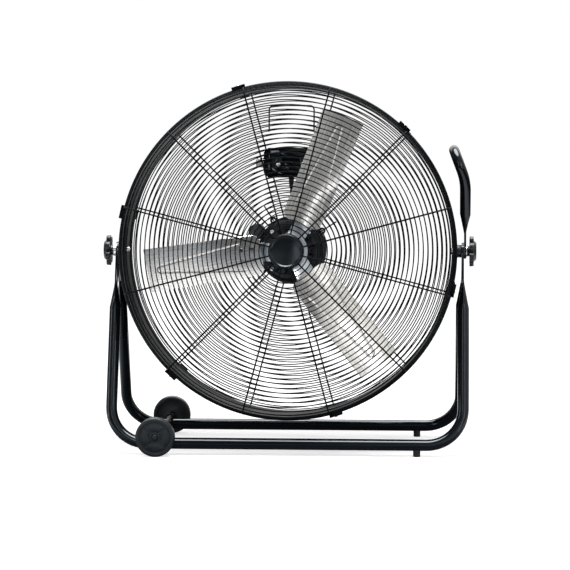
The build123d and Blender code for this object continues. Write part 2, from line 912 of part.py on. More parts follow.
def blade(angle, name):
    """Dished and twisted sheet with a tapered U ridge pressed into it."""
    stations = (blade_root, (blade_root + blade_tip) / 2, blade_tip)
    with BuildPart() as ridge:
        for radius in stations:
            with BuildSketch(blade_plane(angle, radius)):
                sheet_section(
                    blade_chord, blade_camber, blade_sheet / 2, ridge_height, blade_turn(radius)
                )
        loft(ruled=True)
        with BuildSketch(fan_front_plane(angle)):
            ridge_outline(0)
        extrude(amount=blade_chord, both=True, mode=Mode.INTERSECT)
        with BuildSketch(fan_front_plane(angle)):
            ridge_outline(ridge_width)
        extrude(amount=blade_chord, both=True, mode=Mode.SUBTRACT)
    with BuildPart() as vane:
        for radius in stations:
            with BuildSketch(blade_plane(angle, radius)):
                sheet_section(blade_chord, blade_camber, 0, blade_sheet, blade_turn(radius))
        loft(ruled=True)
        with BuildSketch(fan_front_plane(angle)) as corners:
            root_corners()
        extrude(corners.sketch, amount=blade_chord, both=True, mode=Mode.SUBTRACT)
        add(ridge.part)
        rivet_holes(angle)
    finish(vane, name)


def rivet_places(angle):
    """Planes square to a blade's sheet at its rivets, at the middle of the sheet's back."""
    for radius in rivet_rows:
        plane = blade_plane(angle, radius)
        turn = blade_turn(radius)
        normal = plane.y_dir * cos(turn) - plane.x_dir * sin(turn)
        along = plane.x_dir * cos(turn) + plane.y_dir * sin(turn)
        for x in (-rivet_half_spacing, rivet_half_spacing):
            origin = plane.origin + along * x + normal * dish_height(x)
            lean = x / dish_radius
            yield Plane(origin=origin, z_dir=normal * sqrt(1 - lean**2) - along * lean)


def rivet_holes(angle):
    for plane in rivet_places(angle):
        with BuildSketch(plane) as hole:
            Circle(rivet_radius)
        extrude(hole.sketch, amount=4 * spider_sheet, both=True, mode=Mode.SUBTRACT)


def blade_spider():
    """Pressed disc with three twisted arms behind the blades' roots."""
    arm_base = dish_height(spider_arm_width / 2) - spider_sheet - spider_gap
    arm_dip = dish_height(spider_arm_width / 2) - dish_height(0)
    disc_back = spider_back - fan_plane
    arm_inset = spider_sheet / 8
    with BuildPart() as spider:
        with BuildSketch(drum_plane(spider_back)):
            Circle(spider_disc)
        extrude(amount=spider_sheet)
        for angle in blade_angles:
            with BuildSketch(blade_plane(angle, spider_disc - spider_overlap)):
                sheet_section(
                    spider_arm_width * spider_neck,
                    arm_inset,
                    disc_back + 2 * arm_inset,
                    spider_sheet / 2,
                    0,
                )
            with BuildSketch(blade_plane(angle, spider_arm_start)):
                sheet_section(
                    spider_arm_width, arm_dip, arm_base, spider_sheet, blade_turn(spider_arm_start)
                )
            loft(ruled=True)
            for radius in (spider_arm_start, spider_arm_end):
                with BuildSketch(blade_plane(angle, radius)):
                    sheet_section(
                        spider_arm_width, arm_dip, arm_base, spider_sheet, blade_turn(radius)
                    )
            loft(ruled=True)
            rivet_holes(angle)
        with BuildSketch(drum_plane(spider_back)):
            Circle(collar_radius)
        extrude(amount=4 * spider_sheet, both=True, mode=Mode.SUBTRACT)
    finish(spider, "blade_spider")


def blade_rivets():
    back = -spider_sheet - spider_gap - rivet_seat
    front = blade_sheet + rivet_seat
    with BuildPart() as rivets:
        for angle in blade_angles:
            for plane in rivet_places(angle):
                with BuildSketch(plane.offset(back)):
                    Circle(rivet_radius)
                extrude(amount=front - back)
                with BuildSketch(plane.offset(front)):
                    Circle(2 * rivet_radius)
                extrude(amount=rivet_head, taper=35)
                with BuildSketch(plane.offset(back)):
                    Circle(1.6 * rivet_radius)
                extrude(amount=-rivet_head, taper=35)
    finish(rivets, "blade_rivets")


def hub_collar():
    """Turned collar that the spider is pressed on, clamped to the shaft by a set screw."""
    back = spider_back + spider_sheet / 2 - collar_length / 2
    screw_angle = blade_angle + 180 / blade_count
    with BuildPart() as collar:
        with BuildSketch(drum_plane(back)):
            Circle(collar_radius)
            Circle(shaft_diameter / 2, mode=Mode.SUBTRACT)
        extrude(amount=collar_length)
        with BuildSketch(tangent_plane(screw_angle, 0, back + set_screw_place)):
            Circle(set_screw_radius)
        extrude(amount=2 * collar_radius, mode=Mode.SUBTRACT)
    finish(collar, "hub_collar")
    with BuildPart() as screw:
        with BuildSketch(tangent_plane(screw_angle, shaft_diameter / 2, back + set_screw_place)):
            Circle(set_screw_radius)
        extrude(amount=collar_radius - shaft_diameter / 2 - set_screw_depth)
    finish(screw, "hub_set_screw")


def motor_shaft():
    back = motor_back + bell_wall + bell_clearance
    with BuildPart() as shaft:
        with BuildSketch(drum_plane(back)):
            Circle(shaft_diameter / 2)
        extrude(amount=shaft_end - back)
        chamfer(shaft.edges().filter_by(GeomType.CIRCLE), length=axle_chamfer)
    finish(shaft, "motor_shaft")


def rotor_core():
    with BuildPart() as core:
        with BuildSketch(drum_plane(stator_back + core_gap)):
            Circle(motor_bore - air_gap)
            Circle(shaft_diameter / 2, mode=Mode.SUBTRACT)
        extrude(amount=stator_length - 2 * core_gap)
    finish(core, "rotor_core")


# ---------------------------------------------------------------- motor


def motor_bell(end, inward, name):
    """Vented end bell with the seat of a bearing; inward is 1 for the rear bell."""
    mouth = end + inward * bell_length
    floor = end + inward * bell_wall
    seat = floor + inward * bearing_width
    with BuildPart() as bell:
        with BuildSketch(radial_plane(0)):
            with BuildLine():
                Polyline(
                    (shaft_diameter / 2 + bell_clearance, end),
                    (motor_radius - bell_round, end),
                    (motor_radius, end + inward * bell_round),
                    (motor_radius, mouth),
                    (motor_radius - bell_wall, mouth),
                    (motor_radius - bell_wall, end + inward * (bell_round + bell_clearance)),
                    (motor_radius - bell_round - bell_clearance, floor),
                    (bearing_radius + bell_wall, floor),
                    (bearing_radius + bell_wall, seat),
                    (bearing_radius, seat),
                    (bearing_radius, floor),
                    (shaft_diameter / 2 + bell_clearance, floor),
                    (shaft_diameter / 2 + bell_clearance, end),
                )
            make_face()
        revolve(axis=drum_axis)
        with BuildSketch(drum_plane(end)):
            with PolarLocations(vent_ring, bell_vents, start_angle=180 / bell_vents):
                SlotOverall(vent_length, vent_width)
            with PolarLocations(through_bolt_ring, 4, start_angle=45):
                Circle(through_bolt_radius)
            with PolarLocations(mount_screw_ring, 4):
                Circle(mount_screw_radius)
        extrude(amount=inward * 1.5 * bell_wall, mode=Mode.SUBTRACT)
    finish(bell, name)


def motor_stator():
    """Lamination stack with cooling ribs, clamped between the bells."""
    with BuildPart() as stator:
        with BuildSketch(drum_plane(stator_back)):
            Circle(motor_radius - stator_rib_depth)
            with PolarLocations(motor_radius - stator_rib_depth, stator_ribs):
                Rectangle(2 * stator_rib_depth, stator_rib_width)
            Circle(motor_bore, mode=Mode.SUBTRACT)
            with PolarLocations(through_bolt_ring, 4, start_angle=45):
                Circle(through_bolt_radius, mode=Mode.SUBTRACT)
        extrude(amount=stator_length)
    finish(stator, "motor_stator")


def motor_through_bolts():
    with BuildPart() as bolts:
        with BuildSketch(drum_plane(motor_back + bolt_seat)):
            with PolarLocations(through_bolt_ring, 4, start_angle=45):
                Circle(through_bolt_radius)
        extrude(amount=motor_length - bolt_seat)
        with BuildSketch(drum_plane(motor_front)):
            with PolarLocations(through_bolt_ring, 4, start_angle=45):
                RegularPolygon(2 * through_bolt_radius, 6)
        extrude(amount=motor_screw_head)
    finish(bolts, "motor_through_bolts")


def bearing(back, name):
    with BuildPart() as ring:
        with BuildSketch(drum_plane(back)):
            Circle(bearing_radius)
            Circle(shaft_diameter / 2 + running_fit / 2, mode=Mode.SUBTRACT)
        extrude(amount=bearing_width)
    finish(ring, name)


def motor_plate():
    """Lobed plate in the middle of the rear guard that the motor is bolted to."""
    with BuildPart() as plate:
        with BuildSketch(drum_plane(motor_back)):
            Circle(plate_radius)
            with PolarLocations(lobe_radius, 4, start_angle=lobe_angle):
                Circle(lobe_size)
            Circle(bearing_radius, mode=Mode.SUBTRACT)
            with PolarLocations(lobe_radius, 4, start_angle=lobe_angle):
                Circle(lobe_hole, mode=Mode.SUBTRACT)
            with PolarLocations(mount_screw_ring, 4):
                Circle(mount_screw_radius, mode=Mode.SUBTRACT)
        extrude(amount=-plate_thickness)
    finish(plate, "motor_plate")


def motor_mount_screws():
    """Screws from behind the plate into the rear bell."""
    with BuildPart() as screws:
        with BuildSketch(drum_plane(motor_back - plate_thickness)):
            with PolarLocations(mount_screw_ring, 4):
                Circle(mount_screw_radius)
        extrude(amount=plate_thickness + bell_wall)
        with BuildSketch(drum_plane(motor_back - plate_thickness)):
            with PolarLocations(mount_screw_ring, 4):
                RegularPolygon(2 * mount_screw_radius, 6)
        extrude(amount=-motor_screw_head)
    finish(screws, "motor_mount_screws")


def capacitor_plane(z):
    ring = motor_radius + capacitor_strap + capacitor_diameter / 2 + capacitor_gap
    out = outward(capacitor_angle)
    plane = drum_plane(z)
    return Plane(origin=plane.origin + out * ring, x_dir=out, z_dir=plane.z_dir)


def capacitor():
    with BuildPart() as can:
        with BuildSketch(capacitor_plane(capacitor_back)):
            Circle(capacitor_diameter / 2)
        extrude(amount=capacitor_length)
        fillet(can.edges().filter_by(GeomType.CIRCLE), radius=capacitor_edge)
        with BuildSketch(capacitor_plane(capacitor_back + capacitor_length)):
            with Locations((0, -tab_spacing / 2), (0, tab_spacing / 2)):
                Rectangle(tab_sheet, tab_width)
        extrude(amount=tab_height)
    finish(can, "capacitor")
    with BuildPart() as strap:
        with BuildSketch(capacitor_plane(motor_back + bell_round + strap_gap)):
            Circle(capacitor_diameter / 2 + capacitor_strap)
            Circle(capacitor_diameter / 2, mode=Mode.SUBTRACT)
        extrude(amount=strap_width)
    finish(strap, "capacitor_strap")


# ---------------------------------------------------------------- switch box


def box_outline(inset):
    with Locations((box_x, box_y)):
        Rectangle(box_width - 2 * inset, box_height - 2 * inset)


def switch_box():
    """Folded steel box with cut corners, on the back of the rear spokes."""
    with BuildPart() as box:
        with BuildSketch(drum_plane(box_front)) as outline:
            box_outline(0)
            chamfer(outline.vertices(), length=box_corner)
        extrude(amount=-box_depth)
        with BuildSketch(drum_plane(box_front - box_wall)) as room:
            box_outline(box_wall)
            chamfer(room.vertices(), length=box_corner)
        extrude(amount=-box_depth, mode=Mode.SUBTRACT)
        with BuildSketch(drum_plane(box_front - box_depth)):
            with Locations(*cover_screw_spots):
                Circle(cover_post_radius)
        extrude(amount=box_depth - box_wall / 2)
        with BuildSketch(drum_plane(box_front - box_depth)):
            with Locations(*cover_screw_spots):
                Circle(box_screw_radius)
        extrude(amount=box_depth / 2, mode=Mode.SUBTRACT)
        with BuildSketch(box_side_plane(0)):
            Circle(speed_stem_radius)
        extrude(amount=-2 * box_wall, mode=Mode.SUBTRACT)
        with BuildSketch(lead_plane(0)):
            Circle(lead_diameter / 2)
        extrude(amount=-2 * box_wall, mode=Mode.SUBTRACT)
        with BuildSketch(drum_plane(box_front)):
            with Locations(*box_clamp_spots):
                Circle(box_screw_radius)
        extrude(amount=-box_wall, mode=Mode.SUBTRACT)
    finish(box, "switch_box")


def box_cover():
    with BuildPart() as cover:
        with BuildSketch(drum_plane(box_front - box_depth)) as outline:
            box_outline(0)
            chamfer(outline.vertices(), length=box_corner)
            with Locations(gland_spot):
                Circle(gland_radius - gland_step, mode=Mode.SUBTRACT)
            with Locations(*cover_screw_spots):
                Circle(box_screw_radius, mode=Mode.SUBTRACT)
        extrude(amount=-cover_sheet)
    finish(cover, "box_cover")


def cover_screws():
    with BuildPart() as screws:
        with BuildSketch(drum_plane(box_front - box_depth - cover_sheet)):
            with Locations(*cover_screw_spots):
                Circle(2 * box_screw_radius)
        extrude(amount=-cover_screw_head, taper=25)
        with BuildSketch(drum_plane(box_front - box_depth - cover_sheet)):
            with Locations(*cover_screw_spots):
                Circle(box_screw_radius)
        extrude(amount=cover_sheet + box_depth / 3)
    finish(screws, "cover_screws")


def power_gland():
    """Empty gland for the power cord, in the box's cover."""
    with BuildPart() as gland:
        with BuildSketch(drum_plane(box_front - box_depth)):
            with Locations(gland_spot):
                Circle(gland_radius - gland_step)
        extrude(amount=-cover_sheet)
        with BuildSketch(drum_plane(box_front - box_depth - cover_sheet)):
            with Locations(gland_spot):
                RegularPolygon(gland_radius, 6)
        extrude(amount=-gland_length)
        with BuildSketch(drum_plane(box_front - box_depth)):
            with Locations(gland_spot):
                Circle(gland_radius - 2 * gland_step)
        extrude(amount=-cover_sheet - gland_length, mode=Mode.SUBTRACT)
    finish(gland, "power_gland")


def box_clamps():
    """Plates inside the rear guard that pinch three rings against the box."""
    with BuildPart() as clamps:
        with BuildSketch(drum_plane(clamp_back)):
            with Locations(*box_clamp_spots):
                Rectangle(box_clamp_width, 2 * (ring_pitch + box_clamp_overhang))
                Circle(box_screw_radius, mode=Mode.SUBTRACT)
        extrude(amount=box_clamp_sheet)
    finish(clamps, "box_clamps")
    with BuildPart() as screws:
        with BuildSketch(drum_plane(clamp_back + box_clamp_sheet)):
            with Locations(*box_clamp_spots):
                Circle(2 * box_screw_radius)
        extrude(amount=box_clamp_head)
        with BuildSketch(drum_plane(box_front - box_wall)):
            with Locations(*box_clamp_spots):
                Circle(box_screw_radius)
        extrude(amount=box_wall + spoke_wire + ring_wire + box_clamp_sheet)
    finish(screws, "box_screws")


def box_side_plane(gap):
    """Facing left, at a distance from the box's left wall."""
    plane = drum_plane(box_front - box_depth / 2)
    origin = plane.origin + Vector(box_x - box_width / 2 - gap, 0, 0) + Vector(*drum_up) * box_y
    return Plane(origin=origin, x_dir=drum_axis_direction, z_dir=(-1, 0, 0))


def speed_knob():
    """Fluted rotary knob on the left wall of the box."""
    with BuildPart() as knob:
        with BuildSketch(box_side_plane(running_gap)):
            Circle(speed_knob_diameter / 2)
            with PolarLocations(speed_knob_diameter / 2 + flute_offset, speed_knob_flutes):
                Circle(flute_radius, mode=Mode.SUBTRACT)
        extrude(amount=speed_knob_length, taper=4)
        with BuildSketch(box_side_plane(running_gap)):
            Circle(speed_stem_radius + running_fit)
        extrude(amount=speed_knob_length / 2, mode=Mode.SUBTRACT)
    finish(knob, "speed_knob")


def speed_switch():
    """Rotary switch inside the box; its stem carries the knob."""
    with BuildPart() as switch:
        with BuildSketch(box_side_plane(-box_wall)):
            Rectangle(box_switch_size, box_switch_size)
        extrude(amount=-box_switch_size)
        with BuildSketch(box_side_plane(-box_wall)):
            Circle(speed_stem_radius)
        extrude(amount=box_wall + speed_knob_length / 2 - 1)
    finish(switch, "speed_switch")


# ---------------------------------------------------------------- motor lead


def lead_plane(drop):
    """Facing down, at a distance below the box."""
    plane = drum_plane(lead_depth)
    up = Vector(*drum_up)
    origin = plane.origin + Vector(box_x, 0, 0) + up * (box_y - box_height / 2 - drop)
    return Plane(origin=origin, x_dir=(1, 0, 0), z_dir=up * -1)


def lead_relief():
    with BuildPart() as relief:
        with BuildSketch(lead_plane(0)):
            Circle(lead_diameter)
        with BuildSketch(lead_plane(relief_length)):
            Circle(lead_diameter / 2 + relief_wall)
        loft()
        with BuildSketch(lead_plane(0)):
            Circle(lead_diameter / 2)
        extrude(amount=relief_length, mode=Mode.SUBTRACT)
    finish(relief, "lead_relief")


def motor_lead():
    """From the box down behind the guard, in between two rings and into the motor."""
    with BuildPart() as lead:
        with BuildLine(lead_route_plane()) as route:
            FilletPolyline(
                (box_y - box_height / 2 + 2 * box_wall, lead_depth),
                (lead_height, lead_depth),
                (lead_height, lead_entry),
                (motor_radius, lead_entry),
                radius=[lead_bend, lead_end_bend],
            )
        with BuildSketch(Plane(origin=route.line @ 0, z_dir=route.line % 0)):
            Circle(lead_diameter / 2)
        sweep()
    finish(lead, "motor_lead")
    with BuildPart() as grommet:
        with BuildSketch(grommet_plane()):
            Circle(lead_diameter / 2 + grommet_wall)
            Circle(lead_diameter / 2, mode=Mode.SUBTRACT)
        extrude(amount=grommet_length)
        with BuildSketch(drum_plane(lead_entry)):
            Circle(motor_radius)
        extrude(amount=2 * lead_diameter, both=True, mode=Mode.SUBTRACT)
    finish(grommet, "lead_grommet")


def lead_route_plane():
    """Upright through the lead: x up the drum, y along its axis to the front."""
    up = Vector(*drum_up)
    axis = Vector(*drum_axis_direction)
    return Plane(origin=(box_x, 0, pivot_height), x_dir=up, z_dir=up.cross(axis))


def grommet_plane():
    plane = drum_plane(lead_entry)
    up = Vector(*drum_up)
    origin = plane.origin + Vector(box_x, 0, 0) + up * (motor_radius - grommet_seat)
    return Plane(origin=origin, x_dir=(1, 0, 0), z_dir=up)


def rear_handle():
    """Bent wire handle, its feet welded to a ring of the rear guard."""
    half = rear_handle_width / 2
    weld = -(rear_face - spoke_wire / 2)
    out = weld - rear_handle_standoff
    ring = (first_ring + rear_handle_ring * ring_pitch) * flat_share
    low = sqrt(ring**2 - half**2)
    high = low + rear_handle_height
    points = [(box_x + half, low, weld), (box_x + half, low, out), (box_x + half, high, out)]
    points += [(2 * box_x - x, y, z) for x, y, z in points[::-1]]
    with BuildPart() as handle:
        with BuildLine(drum_plane()) as route:
            FilletPolyline(*points, radius=rear_handle_bend)
        with BuildSketch(Plane(origin=route.line @ 0, z_dir=route.line % 0)):
            Circle(rear_handle_wire / 2)
        sweep()
    finish(handle, "rear_handle")


# ---------------------------------------------------------------- build

stand_tube(-1, front_half_width, "front_tube")
stand_tube(1, rear_half_width, "rear_tube")
handle_tube("push_handle")
for side, name in ((-1, "front"), (1, "rear")):
    foot(side, f"foot_{name}")
    wheel(side, f"wheel_{name}")
axle_brackets()
base_screws()
axle()
axle_caps()
pivot_rings([-stand_face], clamp_face - stand_face, "filler_ring")
pivot_rings([-clamp_face, clamp_face], washer_thickness, "clamp_washers")
for side, name in ((-1, "left"), (1, "right")):
    pivot_spacer(side, f"pivot_spacer_{name}")
    pivot_bolt(side, f"pivot_bolt_{name}")
    clamp_knob(side, f"clamp_knob_{name}")

barrel()
guard_rings(1, front_face, front_guard_bend, first_ring, "front_guard_rings")
guard_spokes(1, front_face, front_guard_bend, front_spoke_start, [], "front_guard_spokes")
hub_plate()
guard_badge()
guard_rings(-1, rear_face, rear_guard_bend, rear_first_ring, "rear_guard_rings")
guard_spokes(-1, rear_face, rear_guard_bend, rear_spoke_start, stay_angles, "rear_guard_spokes")
guard_clips()
clip_screws()

for number, angle in enumerate(blade_angles, start=1):
    blade(angle, f"blade_{number}")
blade_spider()
blade_rivets()
hub_collar()
motor_shaft()
rotor_core()

motor_plate()
motor_mount_screws()
motor_bell(motor_back, 1, "motor_rear_bell")
motor_stator()
motor_bell(motor_front, -1, "motor_front_bell")
motor_through_bolts()
bearing(motor_back + bell_wall, "bearing_rear")
bearing(motor_front - bell_wall - bearing_width, "bearing_front")
capacitor()

switch_box()
box_cover()
cover_screws()
power_gland()
box_clamps()
speed_switch()
speed_knob()
lead_relief()
motor_lead()
rear_handle()
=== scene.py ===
import json
import math

import bmesh
import bpy
from mathutils import Matrix, Vector

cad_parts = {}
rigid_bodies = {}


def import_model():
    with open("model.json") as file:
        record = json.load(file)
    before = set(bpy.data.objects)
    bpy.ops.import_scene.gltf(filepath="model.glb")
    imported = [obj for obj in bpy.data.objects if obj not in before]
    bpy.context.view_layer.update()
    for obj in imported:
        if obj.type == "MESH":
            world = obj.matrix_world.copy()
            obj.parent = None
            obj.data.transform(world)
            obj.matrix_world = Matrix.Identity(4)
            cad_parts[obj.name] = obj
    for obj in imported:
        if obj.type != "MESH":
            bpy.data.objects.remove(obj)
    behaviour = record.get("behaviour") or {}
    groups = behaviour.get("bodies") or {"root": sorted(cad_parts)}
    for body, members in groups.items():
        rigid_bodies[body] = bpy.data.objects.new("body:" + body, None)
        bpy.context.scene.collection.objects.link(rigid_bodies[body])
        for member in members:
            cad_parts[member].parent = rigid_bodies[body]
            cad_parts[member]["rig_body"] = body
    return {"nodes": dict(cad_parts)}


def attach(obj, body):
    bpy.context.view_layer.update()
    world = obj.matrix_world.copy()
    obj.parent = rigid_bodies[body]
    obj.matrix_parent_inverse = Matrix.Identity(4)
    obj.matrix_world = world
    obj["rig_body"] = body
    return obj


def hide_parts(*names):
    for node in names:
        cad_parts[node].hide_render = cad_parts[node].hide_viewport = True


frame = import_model()

for leftOver in ("Cube", "Light", "Camera"):  # a fresh Blender file's own objects
    if leftOver in bpy.data.objects:
        bpy.data.objects.remove(bpy.data.objects[leftOver])
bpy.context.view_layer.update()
print("frame is loaded")

# the drum hangs on its pivot axis and leans back a little; in its own frame, which drumFrame
# places, x is right, y up and z out of the front
drum = {
    "pivot": Vector((0, 0, 0.383)),
    "tilt": math.radians(3.5),
    "radius": 0.320,
    "halfDepth": 0.085,
    "beadRadius": 0.0033,
    "beadLine": 0.32165,
}
drumFrame = Matrix.Translation(drum["pivot"]) @ Matrix.Rotation(math.pi / 2 - drum["tilt"], 4, "X")
quarterTurn = math.pi / 2
white = (1, 1, 1, 1)


def takeUp(piece):
    bpy.ops.object.select_all(action="DESELECT")
    piece.select_set(True)
    bpy.context.view_layer.objects.active = piece


def lastAdded(name):
    piece = bpy.context.active_object
    piece.name = name
    piece.data.name = name
    return piece


def applyPlace(piece):
    takeUp(piece)
    bpy.ops.object.transform_apply(location=True, rotation=True, scale=True)


def joinPieces(parts, name):
    bpy.ops.object.select_all(action="DESELECT")
    for part in parts:
        part.select_set(True)
    bpy.context.view_layer.objects.active = parts[0]
    bpy.ops.object.join()
    piece = lastAdded(name)
    applyPlace(piece)
    return piece


def turnedCopy(piece, angle):
    twin = piece.copy()
    twin.data = piece.data.copy()
    twin.matrix_world = Matrix.Rotation(angle, 4, "Z")
    bpy.context.scene.collection.objects.link(twin)
    return twin


def addModifier(piece, kind, **settings):
    takeUp(piece)
    modifier = piece.modifiers.new(kind.title(), kind)
    for key, value in settings.items():
        setattr(modifier, key, value)
    bpy.ops.object.modifier_apply(modifier=modifier.name)


def setDown(piece, look, body, nodes, smoothAngle=40):
    # a finished piece gets its place, its look, the body it moves with and the nodes it stands for
    applyPlace(piece)
    bpy.ops.object.shade_smooth_by_angle(angle=math.radians(smoothAngle))
    piece.data.materials.clear()
    piece.data.materials.append(look)
    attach(piece, body)
    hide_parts(*nodes)


def feed(tree, socket, value):
    # a socket takes another node's output or a plain value
    if isinstance(value, bpy.types.NodeSocket):
        tree.links.new(value, socket)
    else:
        socket.default_value = value


def noiseNode(tree, vector, scale, detail, roughness=0.55):
    node = tree.nodes.new("ShaderNodeTexNoise")
    values = {"Vector": vector, "Scale": scale, "Detail": detail, "Roughness": roughness}
    for key, value in values.items():
        feed(tree, node.inputs[key], value)
    return node.outputs["Fac"]


def mathNode(tree, operation, first, second):
    node = tree.nodes.new("ShaderNodeMath")
    node.operation = operation
    feed(tree, node.inputs[0], first)
    feed(tree, node.inputs[1], second)
    return node.outputs["Value"]


def rampNode(tree, value, start, end, low=0.0, high=1.0):
    node = tree.nodes.new("ShaderNodeMapRange")
    values = {"Value": value, "From Min": start, "From Max": end, "To Min": low, "To Max": high}
    for key, number in values.items():
        feed(tree, node.inputs[key], number)
    return node.outputs["Result"]


def splitNode(tree, vector):
    node = tree.nodes.new("ShaderNodeSeparateXYZ")
    feed(tree, node.inputs["Vector"], vector)
    return node.outputs["X"], node.outputs["Y"], node.outputs["Z"]


# a Mix node's sockets for its factor, its two inputs and its result
mixSockets = {"FLOAT": (0, 2, 3, 0), "RGBA": (0, 6, 7, 2)}


def mixNode(tree, kind, factor, first, second):
    node = tree.nodes.new("ShaderNodeMix")
    node.data_type = kind
    *places, result = mixSockets[kind]
    for place, value in zip(places, (factor, first, second)):
        feed(tree, node.inputs[place], value)
    return node.outputs[result]


def newGroup(name, inputs, outputs):
    group = bpy.data.node_groups.new(name, "ShaderNodeTree")
    for socketName, kind, value in inputs:
        socket = group.interface.new_socket(name=socketName, in_out="INPUT", socket_type=kind)
        socket.default_value = value
    for socketName, kind in outputs:
        group.interface.new_socket(name=socketName, in_out="OUTPUT", socket_type=kind)
    given = group.nodes.new("NodeGroupInput").outputs
    made = group.nodes.new("NodeGroupOutput").inputs
    return group, given, made


finishOutputs = [
    ("Colour", "NodeSocketColor"),
    ("Roughness", "NodeSocketFloat"),
    ("Height", "NodeSocketFloat"),
]
mottleNoise = {"detail": 5.0, "grainDetail": 2.0, "spread": (0.35, 0.68)}


def buildMottle():
    # soft clouds of a second tone over the whole piece, with a fine grain for its relief
    group, given, made = newGroup(
        "finishMottle",
        [
            ("Colour", "NodeSocketColor", (0.5, 0.5, 0.5, 1)),
            ("Second Colour", "NodeSocketColor", (0.4, 0.4, 0.4, 1)),
            ("Mottle Scale", "NodeSocketFloat", 6.0),
            ("Grain Scale", "NodeSocketFloat", 600.0),
            ("Low Roughness", "NodeSocketFloat", 0.2),
            ("High Roughness", "NodeSocketFloat", 0.4),
        ],
        finishOutputs,
    )
    place = group.nodes.new("ShaderNodeTexCoord").outputs["Object"]
    mottle = noiseNode(group, place, given["Mottle Scale"], mottleNoise["detail"])
    grain = noiseNode(group, place, given["Grain Scale"], mottleNoise["grainDetail"])
    cloud = rampNode(group, mottle, *mottleNoise["spread"])
    rough = rampNode(group, cloud, 0.0, 1.0, given["Low Roughness"], given["High Roughness"])
    tone = mixNode(group, "RGBA", cloud, given["Colour"], given["Second Colour"])
    feed(group, made["Colour"], tone)
    feed(group, made["Roughness"], rough)
    feed(group, made["Height"], grain)
    return group


dustNoise = {"detail": 6.0, "roughness": 0.7, "facing": (0.2, 0.95), "specks": (0.42, 0.72)}


def buildDust():
    # specks of dust on the faces that look up
    group, given, made = newGroup(
        "settledDust",
        [
            ("Colour", "NodeSocketColor", (0.1, 0.1, 0.1, 1)),
            ("Dust Colour", "NodeSocketColor", (0.3, 0.29, 0.27, 1)),
            ("Scale", "NodeSocketFloat", 30.0),
            ("Amount", "NodeSocketFloat", 0.05),
        ],
        finishOutputs[:1],
    )
    place = group.nodes.new("ShaderNodeTexCoord").outputs["Object"]
    noise = noiseNode(group, place, given["Scale"], dustNoise["detail"], dustNoise["roughness"])
    _, _, height = splitNode(group, group.nodes.new("ShaderNodeNewGeometry").outputs["Normal"])
    upward = rampNode(group, height, *dustNoise["facing"])
    specks = rampNode(group, noise, *dustNoise["specks"])
    lying = mathNode(group, "MULTIPLY", upward, specks)
    cover = mathNode(group, "MULTIPLY", lying, given["Amount"])
    tone = mixNode(group, "RGBA", cover, given["Colour"], given["Dust Colour"])
    feed(group, made["Colour"], tone)
    return group


rolledNoise = {"streakDetail": 4.0, "cloudScale": 7.0, "cloudDetail": 3.0, "contrast": (0.3, 0.7)}


def buildRolledGrain():
    # streaks along the sheet, on the piece's own UV map
    group, given, made = newGroup(
        "rolledGrain",
        [
            ("Colour", "NodeSocketColor", (0.6, 0.6, 0.6, 1)),
            ("Second Colour", "NodeSocketColor", (0.5, 0.5, 0.5, 1)),
            ("Stretch", "NodeSocketVector", (4.0, 400.0, 1.0)),
            ("Low Roughness", "NodeSocketFloat", 0.25),
            ("High Roughness", "NodeSocketFloat", 0.45),
        ],
        finishOutputs,
    )
    sheet = group.nodes.new("ShaderNodeTexCoord").outputs["UV"]
    stretch = group.nodes.new("ShaderNodeMapping")
    feed(group, stretch.inputs["Vector"], sheet)
    feed(group, stretch.inputs["Scale"], given["Stretch"])
    streaks = noiseNode(group, stretch.outputs["Vector"], 1.0, rolledNoise["streakDetail"])
    cloud = noiseNode(group, sheet, rolledNoise["cloudScale"], rolledNoise["cloudDetail"])
    lowest, highest = given["Low Roughness"], given["High Roughness"]
    rough = rampNode(group, streaks, *rolledNoise["contrast"], lowest, highest)
    tone = mixNode(group, "RGBA", cloud, given["Colour"], given["Second Colour"])
    feed(group, made["Colour"], tone)
    feed(group, made["Roughness"], rough)
    feed(group, made["Height"], streaks)
    return group


finishMottle = buildMottle()
settledDust = buildDust()
rolledGrain = buildRolledGrain()


def placeGroup(tree, group, values):
    node = tree.nodes.new("ShaderNodeGroup")
    node.node_tree = group
    for key, value in values.items():
        feed(tree, node.inputs[key], value)
    return node.outputs


def newMaterial(name):
    look = bpy.data.materials.new(name)
    look.use_nodes = True
    return look, look.node_tree, look.node_tree.nodes["Principled BSDF"].inputs


def newLook(name, sockets, mottle=None, dust=None, rolled=None, bump=0.1, bumpDistance=0.0002):
    look, tree, shader = newMaterial(name)
    for key, value in sockets.items():
        feed(tree, shader[key], value)
    surface = placeGroup(tree, rolledGrain if rolled else finishMottle, rolled or mottle)
    colour = surface["Colour"]
    if dust:
        colour = placeGroup(tree, settledDust, {"Colour": colour, **dust})["Colour"]
    feed(tree, shader["Base Color"], colour)
    feed(tree, shader["Roughness"], surface["Roughness"])
    relief = tree.nodes.new("ShaderNodeBump")
    feed(tree, relief.inputs["Strength"], bump)
    feed(tree, relief.inputs["Distance"], bumpDistance)
    feed(tree, relief.inputs["Height"], surface["Height"])
    feed(tree, shader["Normal"], relief.outputs["Normal"])
    look.diffuse_color = (mottle or rolled)["Colour"]
    return look


coolGloss = (0.80, 0.90, 1.0, 1)  # the blacks gleam a little blue
greyDust = (0.12, 0.12, 0.12, 1)

